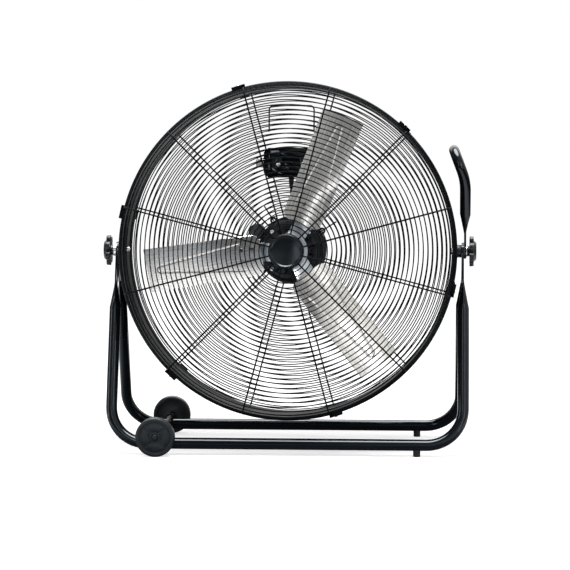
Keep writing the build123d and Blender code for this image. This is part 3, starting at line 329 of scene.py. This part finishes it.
glossPaint = newLook(
    "glossBlackPaint",
    {"Specular IOR Level": 0.24, "Specular Tint": coolGloss},
    mottle={
        "Colour": (0.0030, 0.0038, 0.0050, 1),
        "Second Colour": (0.0045, 0.0056, 0.0072, 1),
        "Mottle Scale": 9.0,
        "Grain Scale": 420.0,
        "Low Roughness": 0.05,
        "High Roughness": 0.10,
    },
    dust={"Dust Colour": greyDust, "Scale": 160.0, "Amount": 0.02},
    bump=0.08,
)
wirePaint = newLook(
    "satinBlackPaint",
    {"Specular IOR Level": 0.03, "Specular Tint": coolGloss},
    mottle={
        "Colour": (0.0030, 0.0038, 0.0048, 1),
        "Second Colour": (0.0046, 0.0056, 0.0070, 1),
        "Mottle Scale": 12.0,
        "Grain Scale": 700.0,
        "Low Roughness": 0.38,
        "High Roughness": 0.50,
    },
    dust={"Dust Colour": greyDust, "Scale": 200.0, "Amount": 0.02},
    bump=0.12,
)
barrelPaint = newLook(
    "semiGlossBlackPaint",
    {"Specular IOR Level": 0.07, "Specular Tint": coolGloss},
    mottle={
        "Colour": (0.0034, 0.0042, 0.0053, 1),
        "Second Colour": (0.0050, 0.0060, 0.0075, 1),
        "Mottle Scale": 10.0,
        "Grain Scale": 520.0,
        "Low Roughness": 0.34,
        "High Roughness": 0.45,
    },
    dust={"Dust Colour": greyDust, "Scale": 180.0, "Amount": 0.03},
    bump=0.1,
)
motorPaint = newLook(
    "satinMotorPaint",
    {"Specular IOR Level": 0.4, "Specular Tint": coolGloss},
    mottle={
        "Colour": (0.0040, 0.0044, 0.0052, 1),
        "Second Colour": (0.0070, 0.0075, 0.0085, 1),
        "Mottle Scale": 14.0,
        "Grain Scale": 900.0,
        "Low Roughness": 0.36,
        "High Roughness": 0.52,
    },
    dust={"Dust Colour": (0.14, 0.135, 0.13, 1), "Scale": 220.0, "Amount": 0.08},
    bump=0.2,
)
badgePlastic = newLook(
    "polishedBlackPlastic",
    {"Specular IOR Level": 0.25, "Specular Tint": coolGloss},
    mottle={
        "Colour": (0.0030, 0.0040, 0.0048, 1),
        "Second Colour": (0.0042, 0.0054, 0.0064, 1),
        "Mottle Scale": 30.0,
        "Grain Scale": 1500.0,
        "Low Roughness": 0.16,
        "High Roughness": 0.24,
    },
    dust={"Dust Colour": greyDust, "Scale": 300.0, "Amount": 0.03},
    bump=0.12,
)
wheelPlastic = newLook(
    "grainedWheelPlastic",
    {"Specular IOR Level": 0.35, "Specular Tint": coolGloss},
    mottle={
        "Colour": (0.0050, 0.0058, 0.0070, 1),
        "Second Colour": (0.0085, 0.0092, 0.0105, 1),
        "Mottle Scale": 26.0,
        "Grain Scale": 1200.0,
        "Low Roughness": 0.36,
        "High Roughness": 0.48,
    },
    dust={"Dust Colour": (0.13, 0.13, 0.13, 1), "Scale": 260.0, "Amount": 0.05},
    bump=0.3,
)
knobPlastic = newLook(
    "mouldedBlackPlastic",
    {"Specular IOR Level": 0.28, "Specular Tint": coolGloss},
    mottle={
        "Colour": (0.0040, 0.0044, 0.0050, 1),
        "Second Colour": (0.0065, 0.0070, 0.0078, 1),
        "Mottle Scale": 24.0,
        "Grain Scale": 1400.0,
        "Low Roughness": 0.30,
        "High Roughness": 0.42,
    },
    dust={"Dust Colour": greyDust, "Scale": 300.0, "Amount": 0.05},
    bump=0.25,
)
footRubber = newLook(
    "mattBlackRubber",
    {"Specular IOR Level": 0.3},
    mottle={
        "Colour": (0.0095, 0.0095, 0.0100, 1),
        "Second Colour": (0.0170, 0.0165, 0.0160, 1),
        "Mottle Scale": 40.0,
        "Grain Scale": 1100.0,
        "Low Roughness": 0.55,
        "High Roughness": 0.75,
    },
    dust={"Dust Colour": (0.16, 0.155, 0.15, 1), "Scale": 240.0, "Amount": 0.12},
    bump=0.35,
)
bladeAluminium = newLook(
    "millAluminium",
    {"Metallic": 0.7, "Specular IOR Level": 0.5},
    rolled={
        "Colour": (0.86, 0.85, 0.825, 1),
        "Second Colour": (0.78, 0.775, 0.76, 1),
        "Stretch": (3.0, 260.0, 1.0),
        "Low Roughness": 0.24,
        "High Roughness": 0.31,
    },
    bump=0.02,
    bumpDistance=0.0001,
)
zincPlate = newLook(
    "brightZincPlate",
    {"Metallic": 1.0},
    mottle={
        "Colour": (0.62, 0.62, 0.63, 1),
        "Second Colour": (0.48, 0.48, 0.47, 1),
        "Mottle Scale": 60.0,
        "Grain Scale": 1600.0,
        "Low Roughness": 0.22,
        "High Roughness": 0.40,
    },
    bump=0.15,
)
spiderZinc = newLook(
    "pressedZincSheet",
    {"Metallic": 1.0},
    mottle={
        "Colour": (0.43, 0.465, 0.50, 1),
        "Second Colour": (0.345, 0.38, 0.415, 1),
        "Mottle Scale": 22.0,
        "Grain Scale": 900.0,
        "Low Roughness": 0.30,
        "High Roughness": 0.46,
    },
    bump=0.12,
)
# painted shade: the zinc axle is coloured near black, for the shade it sits in between the wheels
# and the brackets
axleShadeSteel = newLook(
    "axlePaintedShade",
    {"Metallic": 0.9},
    mottle={
        "Colour": (0.034, 0.032, 0.030, 1),
        "Second Colour": (0.022, 0.020, 0.019, 1),
        "Mottle Scale": 50.0,
        "Grain Scale": 1300.0,
        "Low Roughness": 0.36,
        "High Roughness": 0.52,
    },
    bump=0.2,
)
coreSteel = newLook(
    "varnishedCoreSteel",
    {"Metallic": 1.0},
    mottle={
        "Colour": (0.09, 0.09, 0.10, 1),
        "Second Colour": (0.05, 0.05, 0.055, 1),
        "Mottle Scale": 30.0,
        "Grain Scale": 700.0,
        "Low Roughness": 0.40,
        "High Roughness": 0.60,
    },
    bump=0.3,
)
capacitorCase = newLook(
    "capacitorCase",
    {"Specular IOR Level": 0.45},
    mottle={
        "Colour": (0.017, 0.021, 0.028, 1),
        "Second Colour": (0.025, 0.030, 0.039, 1),
        "Mottle Scale": 18.0,
        "Grain Scale": 1000.0,
        "Low Roughness": 0.28,
        "High Roughness": 0.40,
    },
    bump=0.1,
)
switchPlastic = newLook(
    "switchPlastic",
    {"Specular IOR Level": 0.4},
    mottle={
        "Colour": (0.20, 0.20, 0.20, 1),
        "Second Colour": (0.15, 0.15, 0.15, 1),
        "Mottle Scale": 30.0,
        "Grain Scale": 900.0,
        "Low Roughness": 0.45,
        "High Roughness": 0.60,
    },
    bump=0.1,
)
greyPlastic = newLook(
    "paleGreyPlastic",
    {"Specular IOR Level": 0.45},
    mottle={
        "Colour": (0.78, 0.79, 0.79, 1),
        "Second Colour": (0.68, 0.69, 0.70, 1),
        "Mottle Scale": 36.0,
        "Grain Scale": 1300.0,
        "Low Roughness": 0.32,
        "High Roughness": 0.46,
    },
    bump=0.15,
)
print("finishes are mixed")


view = {
    "width": 570,
    "focal": 2304.0,  # in pixels of the photograph's width
    "distance": 4.49,
    "yaw": math.radians(3.37),
    "pitch": math.radians(5.1),
    "roll": math.radians(-0.05),
    "pivotRight": 4.6,  # pixels from the middle of the picture to the pivot
    "pivotUp": 34.4,
    "sensor": 36.0,
    "clipEnd": 200,
}


def setCamera():
    yaw, pitch, roll = view["yaw"], view["pitch"], view["roll"]
    level = math.cos(pitch)
    forward = Vector((-math.sin(yaw) * level, math.cos(yaw) * level, -math.sin(pitch)))
    side = forward.cross(Vector((0, 0, 1))).normalized()
    upright = side.cross(forward)
    right = side * math.cos(roll) + upright * math.sin(roll)
    up = upright * math.cos(roll) - side * math.sin(roll)
    away = view["distance"]
    aim = right * (view["pivotRight"] / view["focal"] * away)
    aim += up * (view["pivotUp"] / view["focal"] * away) + forward * away
    turn = Matrix((right, up, -forward)).transposed().to_4x4()
    bpy.ops.object.camera_add()
    camera = lastAdded("photoCamera")
    camera.matrix_world = Matrix.Translation(drum["pivot"] - aim) @ turn
    camera.data.sensor_width = view["sensor"]
    camera.data.lens = view["focal"] / view["width"] * view["sensor"]
    camera.data.clip_end = view["clipEnd"]
    bpy.context.scene.camera = camera


paper = {
    "size": 60,
    "roughness": 0.9,
    "colour": (0.9, 0.9, 0.9, 1),
    "seenLift": 0.62,
    "underShade": (0.22, 0.25, 0.29, 1),  # the fan's shade on the paper, as gloss mirrors it
    "shadowEdge": (0.36, 0.78),  # metres from the middle over which that shade clears
    # a painted glow that only gloss sees, on the paper between the fan's shade and the far dark
    "paintedGlow": 1.75,
    "farShade": (0.085, 0.10, 0.12, 1),  # the room's dark beyond the paper
    "farEdge": (1.1, 1.8),
    "aheadEdge": (0.6, 0.1),  # along Y
    "asideEdge": (0.6, 1.1),  # along X
}


def makeFloor():
    bpy.ops.mesh.primitive_plane_add(size=paper["size"], location=(0, 0, 0))
    floor = lastAdded("paperFloor")
    look, tree, shader = newMaterial("whitePaper")
    rays = tree.nodes.new("ShaderNodeLightPath").outputs
    glossy = rays["Is Glossy Ray"]
    place = tree.nodes.new("ShaderNodeTexCoord").outputs["Object"]
    x, y, _ = splitNode(tree, place)
    length = tree.nodes.new("ShaderNodeVectorMath")
    length.operation = "LENGTH"
    feed(tree, length.inputs[0], place)
    reach = length.outputs["Value"]
    # in front and beside the fan the paper ends in the dark of the room, as its gloss shows
    far = rampNode(tree, reach, *paper["farEdge"])
    ahead = rampNode(tree, y, *paper["aheadEdge"])
    aside = rampNode(tree, x, *paper["asideEdge"])
    dimmed = mathNode(tree, "MULTIPLY", far, mathNode(tree, "MAXIMUM", ahead, aside))
    dark = mathNode(tree, "MULTIPLY", dimmed, glossy)
    ground = mixNode(tree, "RGBA", dark, paper["colour"], paper["farShade"])
    outside = rampNode(tree, reach, *paper["shadowEdge"])
    under = mathNode(tree, "MULTIPLY", mathNode(tree, "SUBTRACT", 1.0, outside), glossy)
    seen = mathNode(tree, "MULTIPLY", rays["Is Camera Ray"], paper["seenLift"])
    # painted reflection: between the fan's shade and the far dark the paper glows with light of
    # its own that only gloss sees, so the blades and tubes mirror a bright paper
    glowRing = mathNode(tree, "MULTIPLY", mathNode(tree, "SUBTRACT", outside, far), glossy)
    mirrored = mathNode(tree, "MULTIPLY", glowRing, paper["paintedGlow"])
    feed(tree, shader["Base Color"], mixNode(tree, "RGBA", under, ground, paper["underShade"]))
    feed(tree, shader["Roughness"], paper["roughness"])
    feed(tree, shader["Specular IOR Level"], 0.0)
    feed(tree, shader["Emission Color"], white)
    feed(tree, shader["Emission Strength"], mathNode(tree, "ADD", seen, mirrored))
    floor.data.materials.append(look)


# what gloss mirrors: a dim room behind the camera, a bright wall to the right, the white sweep
# behind the fan and a soft box over it; an edge runs between two values of the ray's direction
sweep = {
    "diffuse": 0.45,
    "tint": (1.0, 0.985, 0.955, 1),
    "middle": 0.14,
    "left": 0.26,
    "leftEdge": (-0.10, -0.40),  # along X
    "right": 0.98,
    "rightEdge": (-0.05, 0.05),
    "rightFoot": (-0.02, 0.06),  # along Z
    "behind": 0.35,
    "behindEdge": (0.3, 0.6),  # along Y
    "skyline": 2.4,
    "skylineEdge": (0.15, 0.35),  # along Z
    "overhead": 22.0,
    "overheadEdge": (0.86, 0.92),
}


def setWorld():
    world = bpy.data.worlds.new("whiteSweep")
    bpy.context.scene.world = world
    world.use_nodes = True
    tree = world.node_tree
    background = tree.nodes["Background"].inputs
    x, y, z = splitNode(tree, tree.nodes.new("ShaderNodeTexCoord").outputs["Generated"])
    rays = tree.nodes.new("ShaderNodeLightPath").outputs
    leftWall = rampNode(tree, x, *sweep["leftEdge"], sweep["middle"], sweep["left"])
    rightWall = rampNode(tree, x, *sweep["rightEdge"], 0.0, sweep["right"])
    raised = rampNode(tree, z, *sweep["rightFoot"])
    front = mathNode(tree, "ADD", leftWall, mathNode(tree, "MULTIPLY", rightWall, raised))
    skyline = rampNode(tree, z, *sweep["skylineEdge"], sweep["behind"], sweep["skyline"])
    around = mixNode(tree, "FLOAT", rampNode(tree, y, *sweep["behindEdge"]), front, skyline)
    above = rampNode(tree, z, *sweep["overheadEdge"])
    mirrored = mixNode(tree, "FLOAT", above, around, sweep["overhead"])
    lit = mixNode(tree, "FLOAT", rays["Is Glossy Ray"], sweep["diffuse"], mirrored)
    clear = mathNode(tree, "MAXIMUM", rays["Is Camera Ray"], rays["Is Transmission Ray"])
    feed(tree, background["Strength"], mixNode(tree, "FLOAT", clear, lit, 1.0))
    tinted = mixNode(tree, "RGBA", rays["Is Glossy Ray"], white, sweep["tint"])
    feed(tree, background["Color"], tinted)


softBoxes = {
    "topBox": {"place": (0.3, -0.6, 3.3), "size": (1.5, 1.5), "power": 62},
    "rightStrip": {"place": (2.3, -3.0, 1.2), "size": (0.12, 2.2), "power": 22},
    "leftStrip": {"place": (-0.9, -3.7, 1.2), "size": (0.12, 2.2), "power": 14},
    "sideStrip": {"place": (-3.2, -0.9, 1.2), "size": (0.3, 2.2), "power": 30},
}
lampTarget = Vector((0, 0, 0.35))


def setLamps():
    for name, box in softBoxes.items():
        bpy.ops.object.light_add(type="AREA", location=box["place"])
        lamp = lastAdded(name)
        lamp.data.shape = "RECTANGLE"
        lamp.data.size, lamp.data.size_y = box["size"]
        lamp.data.energy = box["power"]
        aim = lampTarget - Vector(box["place"])
        lamp.rotation_euler = aim.to_track_quat("-Z", "Y").to_euler()


setCamera()
makeFloor()
setWorld()
setLamps()
bpy.context.scene.view_settings.view_transform = "Standard"
print("camera, floor and light stand")


barrelShape = {
    "sheet": 0.0012,
    "ribOffset": 0.046,
    "ribWidth": 0.016,
    "ribRise": 0.003,
    "ribSteps": 10,
    "sides": 192,
    "beadSides": 14,
    "loopGap": 0.00001,
}


def ribHeight(offset):
    # a rib is an arc over its width
    half, rise = barrelShape["ribWidth"] / 2, barrelShape["ribRise"]
    curve = (half**2 + rise**2) / (2 * rise)
    return math.sqrt(curve**2 - offset**2) - (curve - rise)


def makeBarrel():
    shape = barrelShape
    station = drum["halfDepth"] - drum["beadRadius"]
    bpy.ops.mesh.primitive_cylinder_add(
        vertices=shape["sides"],
        radius=drum["radius"],
        depth=2 * station,
        end_fill_type="NOTHING",
    )
    sheet = lastAdded("barrelSheet")
    count = shape["ribSteps"]
    offsets = [shape["ribWidth"] * (step / count - 0.5) for step in range(count + 1)]
    loops = [(side * shape["ribOffset"], offset) for side in (-1, 1) for offset in offsets]
    bpy.ops.object.mode_set(mode="EDIT")
    for middle, offset in loops:  # all the cuts first, so that no cut lands on a raised wall
        bpy.ops.mesh.select_all(action="SELECT")
        bpy.ops.mesh.bisect(plane_co=(0, 0, middle + offset), plane_no=(0, 0, 1))
    for middle, offset in loops:
        bpy.ops.mesh.select_all(action="DESELECT")
        wall = bmesh.from_edit_mesh(sheet.data)
        for vertex in wall.verts:
            vertex.select_set(abs(vertex.co.z - middle - offset) < shape["loopGap"])
        bmesh.update_edit_mesh(sheet.data)
        grow = 1 + ribHeight(offset) / drum["radius"]
        bpy.ops.transform.resize(value=(grow, grow, 1), center_override=(0, 0, 0))
    bpy.ops.object.mode_set(mode="OBJECT")
    addModifier(sheet, "SOLIDIFY", thickness=shape["sheet"], offset=-1)
    parts = [sheet]
    for side in (-1, 1):
        bpy.ops.mesh.primitive_torus_add(
            major_radius=drum["beadLine"],
            minor_radius=drum["beadRadius"],
            major_segments=shape["sides"],
            minor_segments=shape["beadSides"],
            location=(0, 0, side * station),
        )
        parts.append(bpy.context.active_object)
    barrel = joinPieces(parts, "rolledBarrel")
    barrel.matrix_world = drumFrame
    setDown(barrel, barrelPaint, "drum", ["barrel"])


makeBarrel()
print("barrel is rolled")


guardWire = {
    "spoke": 0.003,
    "ring": 0.0022,
    "hoop": 0.004,
    "pitch": 0.00908,
    "firstRing": 0.0332,
    "spokes": 12,
    "ringSides": 144,
    "wireSides": 8,
    "bendSteps": 8,
    "mergeGap": 0.00002,
    "smoothAngle": 60,
}
guards = {
    "front": {"side": 1, "face": 0.125, "bend": 0.022, "skipRings": 0, "spokeStart": 0.020},
    "rear": {"side": -1, "face": 0.108, "bend": 0.014, "skipRings": 5, "spokeStart": 0.024},
}
motorStays = {
    "count": 4,
    "start": 0.063,
    "end": 0.104,
    "height": -0.1028,
    "firstAngle": math.radians(33),
    "endRounding": 0.0004,
    "endSteps": 2,
}


def ringPlace(distance, face, bend):
    # middle of a ring that lies on the fan's side of the spokes, so far along them
    flat = drum["beadLine"] - bend
    turn = min(max((distance - flat) / bend, 0), quarterTurn)
    beyond = max(distance - flat - bend * quarterTurn, 0)
    outward, forward = math.sin(turn), math.cos(turn)
    inset = guardWire["spoke"] / 2 + guardWire["ring"] / 2 * (outward + forward)
    radius = min(distance, flat) + bend * outward - inset * outward
    return radius, face - bend * (1 - forward) - beyond - inset * forward


def makeRings(name, guard):
    side, face, bend = guard["side"], guard["face"], guard["bend"]
    length = drum["beadLine"] - bend + bend * quarterTurn
    length += face - bend - drum["halfDepth"] - guardWire["hoop"]
    distance = guardWire["firstRing"] + guard["skipRings"] * guardWire["pitch"]
    places = []
    while distance < length - guardWire["ring"]:
        places.append((*ringPlace(distance, face, bend), guardWire["ring"] / 2))
        distance += guardWire["pitch"]
    hoop = guardWire["hoop"] / 2
    places.append((drum["beadLine"], drum["halfDepth"] + hoop, hoop))
    wires = []
    for radius, height, thick in places:
        bpy.ops.mesh.primitive_torus_add(
            major_radius=radius,
            minor_radius=thick,
            major_segments=guardWire["ringSides"],
            minor_segments=guardWire["wireSides"],
            location=(0, 0, side * height),
        )
        wires.append(bpy.context.active_object)
    rings = joinPieces(wires, name + "RingWires")
    rings.matrix_world = drumFrame
    nodes, smoothAngle = [name + "_guard_rings"], guardWire["smoothAngle"]
    setDown(rings, wirePaint, "drum", nodes, smoothAngle)


def makeSpokes(name, guard):
    side, face, bend = guard["side"], guard["face"], guard["bend"]
    bpy.ops.mesh.primitive_circle_add(
        vertices=guardWire["wireSides"],
        radius=guardWire["spoke"] / 2,
        fill_type="NGON",
        location=(guard["spokeStart"], 0, side * face),
        rotation=(0, quarterTurn, 0),
    )
    spoke = lastAdded("oneSpoke")
    applyPlace(spoke)
    bpy.ops.object.mode_set(mode="EDIT")
    bpy.ops.mesh.select_all(action="SELECT")
    run = drum["beadLine"] - bend - guard["spokeStart"]
    bpy.ops.mesh.extrude_region_move(TRANSFORM_OT_translate={"value": (run, 0, 0)})
    bpy.ops.mesh.spin(
        steps=guardWire["bendSteps"],
        angle=-side * quarterTurn,  # with no window spin turns the other way
        center=(drum["beadLine"] - bend, 0, side * (face - bend)),
        axis=(0, 1, 0),
    )
    drop = face - bend - drum["halfDepth"] - guardWire["hoop"] / 2
    bpy.ops.mesh.extrude_region_move(TRANSFORM_OT_translate={"value": (0, 0, -side * drop)})
    bpy.ops.mesh.select_all(action="SELECT")
    bpy.ops.mesh.remove_doubles(threshold=guardWire["mergeGap"])
    bpy.ops.mesh.normals_make_consistent(inside=False)
    bpy.ops.object.mode_set(mode="OBJECT")
    step = 2 * math.pi / guardWire["spokes"]
    wires = [turnedCopy(spoke, step * (turn + 0.5)) for turn in range(guardWire["spokes"])]
    bpy.data.objects.remove(spoke)
    if name == "rear":
        wires += makeStays()
    spokes = joinPieces(wires, name + "SpokeWires")
    spokes.matrix_world = drumFrame
    nodes, smoothAngle = [name + "_guard_spokes"], guardWire["smoothAngle"]
    setDown(spokes, wirePaint, "drum", nodes, smoothAngle)


def makeStays():
    # short wires behind the rear guard that carry the motor's plate
    length = motorStays["end"] - motorStays["start"]
    bpy.ops.mesh.primitive_cylinder_add(
        vertices=guardWire["wireSides"],
        radius=guardWire["spoke"] / 2,
        depth=length,
        location=(motorStays["start"] + length / 2, 0, motorStays["height"]),
        rotation=(0, quarterTurn, 0),
    )
    stay = lastAdded("oneStay")
    applyPlace(stay)
    rounding, steps = motorStays["endRounding"], motorStays["endSteps"]
    addModifier(stay, "BEVEL", width=rounding, segments=steps)
    step = 2 * math.pi / motorStays["count"]
    angles = [motorStays["firstAngle"] + step * turn for turn in range(motorStays["count"])]
    stays = [turnedCopy(stay, angle) for angle in angles]
    bpy.data.objects.remove(stay)
    return stays


for guardName, guardSize in guards.items():
    makeRings(guardName, guardSize)
    makeSpokes(guardName, guardSize)
print("guards are welded")


bladeShape = {
    "angles": [68.4, 188.4, 308.4],
    "plane": -0.002,
    "root": 0.056,
    "tip": 0.282,
    "chord": 0.096,
    "camber": 0.009,
    "rootPitch": 34.0,
    "tipPitch": 28.0,
    "flatPitch": 21.0,
    "flatCamber": 0.0045,
    "flattens": (0.16, 0.60),  # shares of the length between which it eases flatter
    "sheet": 0.0016,
    "rootCorner": 0.014,
    "ridgeRise": 0.0015,
    "ridgeWidth": 0.005,
    "ridgeRoot": 0.092,
    "ridgeRootHalf": 0.029,
    "ridgeTip": 0.263,
    "ridgeTipHalf": 0.0088,
    "along": 150,
    "across": 120,
}


def ridgeHeight(out, across):
    # the pressed U: how far a point of the plan lies inside the tongue's outline
    shape = bladeShape
    end = shape["ridgeTip"] - shape["ridgeTipHalf"]
    if out > end:
        inside = shape["ridgeTipHalf"] - math.hypot(out - end, across)
    else:
        run = end - shape["ridgeRoot"]
        narrow = shape["ridgeRootHalf"] - shape["ridgeTipHalf"]
        half = shape["ridgeRootHalf"] - narrow * (out - shape["ridgeRoot"]) / run
        inside = (half - abs(across)) * run / math.hypot(run, narrow)
    share = min(max(inside / shape["ridgeWidth"], 0), 1)
    fade = min(max((out - shape["ridgeRoot"]) / shape["ridgeWidth"], 0), 1)
    return shape["ridgeRise"] * math.sin(math.pi * share) ** 2 * fade


def bladePoint(share, side):
    # share runs from the root to the tip and side across from -1 to 1
    shape = bladeShape
    out = shape["root"] + share * (shape["tip"] - shape["root"])
    steep = shape["rootPitch"] + share * (shape["tipPitch"] - shape["rootPitch"])
    start, end = shape["flattens"]
    ease = min(max((share - start) / (end - start), 0), 1)
    ease = ease * ease * (3 - 2 * ease)
    pitch = -math.radians(steep + ease * (shape["flatPitch"] - steep))
    camber = shape["camber"] + ease * (shape["flatCamber"] - shape["camber"])
    half = shape["chord"] / 2
    width = half * math.cos(math.radians(steep))  # half the width, as seen from the front
    corner = shape["rootCorner"]
    if out < shape["root"] + corner:
        deep = corner - (out - shape["root"])
        width -= corner - math.sqrt(corner**2 - deep**2)
    dish = (half**2 + camber**2) / (2 * camber)
    x = side * width / math.cos(pitch)
    y = dish - camber - math.sqrt(dish**2 - x**2) + shape["sheet"]
    across = x * math.cos(pitch) - y * math.sin(pitch)
    y += ridgeHeight(out, across)
    across = x * math.cos(pitch) - y * math.sin(pitch)
    return Vector((out, across, shape["plane"] + x * math.sin(pitch) + y * math.cos(pitch)))


def makeBlade(number, angle):
    shape = bladeShape
    bpy.ops.mesh.primitive_grid_add(
        x_subdivisions=shape["along"], y_subdivisions=shape["across"], size=1
    )
    blade = lastAdded(f"fanBlade{number}")
    for vertex in blade.data.vertices:
        vertex.co = bladePoint(vertex.co.x + 0.5, 2 * vertex.co.y)
    addModifier(blade, "SOLIDIFY", thickness=shape["sheet"], offset=-1)
    blade.matrix_world = drumFrame @ Matrix.Rotation(math.radians(angle), 4, "Z")
    setDown(blade, bladeAluminium, "rotor", [f"blade_{number}"])


for bladeNumber, bladeAngle in enumerate(bladeShape["angles"], start=1):
    makeBlade(bladeNumber, bladeAngle)
print("blades are pressed")


# the other pieces keep the frame's shapes, with their edges rounded
dressing = {"mergeGap": 0.00001, "flatAngle": 0.2, "edgeAngle": 35, "edgeSteps": 2}
dressed = [  # node, look, slot and how far its edges are rounded
    ("front_tube", glossPaint, "black_gloss_paint", 0.0),
    ("rear_tube", glossPaint, "black_gloss_paint", 0.0),
    ("push_handle", glossPaint, "black_gloss_paint", 0.0),
    ("rear_handle", glossPaint, "black_gloss_paint", 0.0),
    ("axle_brackets", glossPaint, "black_gloss_paint", 0.0003),
    ("guard_clips", wirePaint, "black_gloss_paint", 0.0003),
    ("front_hub_plate", wirePaint, "black_gloss_paint", 0.0003),
    ("motor_plate", motorPaint, "black_gloss_paint", 0.0003),
    ("switch_box", glossPaint, "black_gloss_paint", 0.0006),
    ("box_cover", glossPaint, "black_gloss_paint", 0.0003),
    ("box_clamps", glossPaint, "black_gloss_paint", 0.0003),
    ("motor_rear_bell", motorPaint, "black_motor_paint", 0.0003),
    ("motor_front_bell", motorPaint, "black_motor_paint", 0.0003),
    ("motor_stator", coreSteel, "core_steel", 0.0003),
    ("rotor_core", coreSteel, "core_steel", 0.0003),
    ("guard_badge", badgePlastic, "black_plastic", 0.0004),
    ("clamp_knob_left", knobPlastic, "black_plastic", 0.0008),
    ("clamp_knob_right", knobPlastic, "black_plastic", 0.0008),
    ("pivot_spacer_left", knobPlastic, "black_plastic", 0.0003),
    ("pivot_spacer_right", knobPlastic, "black_plastic", 0.0003),
    ("wheel_front", wheelPlastic, "black_plastic", 0.0005),
    ("wheel_rear", wheelPlastic, "black_plastic", 0.0005),
    ("axle_caps", knobPlastic, "black_plastic", 0.0003),
    ("power_gland", knobPlastic, "black_plastic", 0.0003),
    ("foot_front", footRubber, "black_rubber", 0.0003),
    ("foot_rear", footRubber, "black_rubber", 0.0003),
    ("lead_relief", footRubber, "black_rubber", 0.0003),
    ("lead_grommet", footRubber, "black_rubber", 0.0003),
    ("motor_lead", footRubber, "black_rubber", 0.0),
    ("blade_spider", spiderZinc, "zinc_steel", 0.0003),
    ("blade_rivets", zincPlate, "zinc_steel", 0.0),
    ("hub_collar", zincPlate, "zinc_steel", 0.0004),
    ("hub_set_screw", zincPlate, "zinc_steel", 0.0),
    ("motor_shaft", zincPlate, "zinc_steel", 0.0),
    ("bearing_rear", zincPlate, "zinc_steel", 0.0003),
    ("bearing_front", zincPlate, "zinc_steel", 0.0003),
    ("pivot_bolt_left", zincPlate, "zinc_steel", 0.0003),
    ("pivot_bolt_right", zincPlate, "zinc_steel", 0.0003),
    ("filler_ring", zincPlate, "zinc_steel", 0.0003),
    ("clamp_washers", zincPlate, "zinc_steel", 0.0002),
    ("axle", axleShadeSteel, "zinc_steel", 0.0),
    ("base_screws", zincPlate, "zinc_steel", 0.0003),
    ("clip_screws", zincPlate, "zinc_steel", 0.0002),
    ("cover_screws", zincPlate, "zinc_steel", 0.0002),
    ("box_screws", zincPlate, "zinc_steel", 0.0002),
    ("motor_mount_screws", zincPlate, "zinc_steel", 0.0002),
    ("motor_through_bolts", zincPlate, "zinc_steel", 0.0002),
    ("capacitor_strap", zincPlate, "zinc_steel", 0.0002),
    ("capacitor", capacitorCase, "capacitor_plastic", 0.0003),
    ("speed_switch", switchPlastic, "switch_plastic", 0.0003),
    ("speed_knob", greyPlastic, "grey_plastic", 0.0),
]


def dressNode(node, look, slotName, rounding):
    source = frame["nodes"][node]
    piece = bpy.data.objects.new(node + "_finish", source.data.copy())
    bpy.context.scene.collection.objects.link(piece)
    takeUp(piece)
    bpy.ops.mesh.customdata_custom_splitnormals_clear()
    bpy.ops.object.mode_set(mode="EDIT")
    bpy.ops.mesh.select_all(action="SELECT")
    bpy.ops.mesh.remove_doubles(threshold=dressing["mergeGap"])
    bpy.ops.mesh.dissolve_limited(angle_limit=math.radians(dressing["flatAngle"]))
    bpy.ops.object.mode_set(mode="OBJECT")
    if rounding:
        addModifier(
            piece,
            "BEVEL",
            width=rounding,
            segments=dressing["edgeSteps"],
            limit_method="ANGLE",
            angle_limit=math.radians(dressing["edgeAngle"]),
        )
    setDown(piece, look, source["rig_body"], [node], dressing["edgeAngle"])


for row in dressed:
    dressNode(*row)
print("frame pieces are dressed")
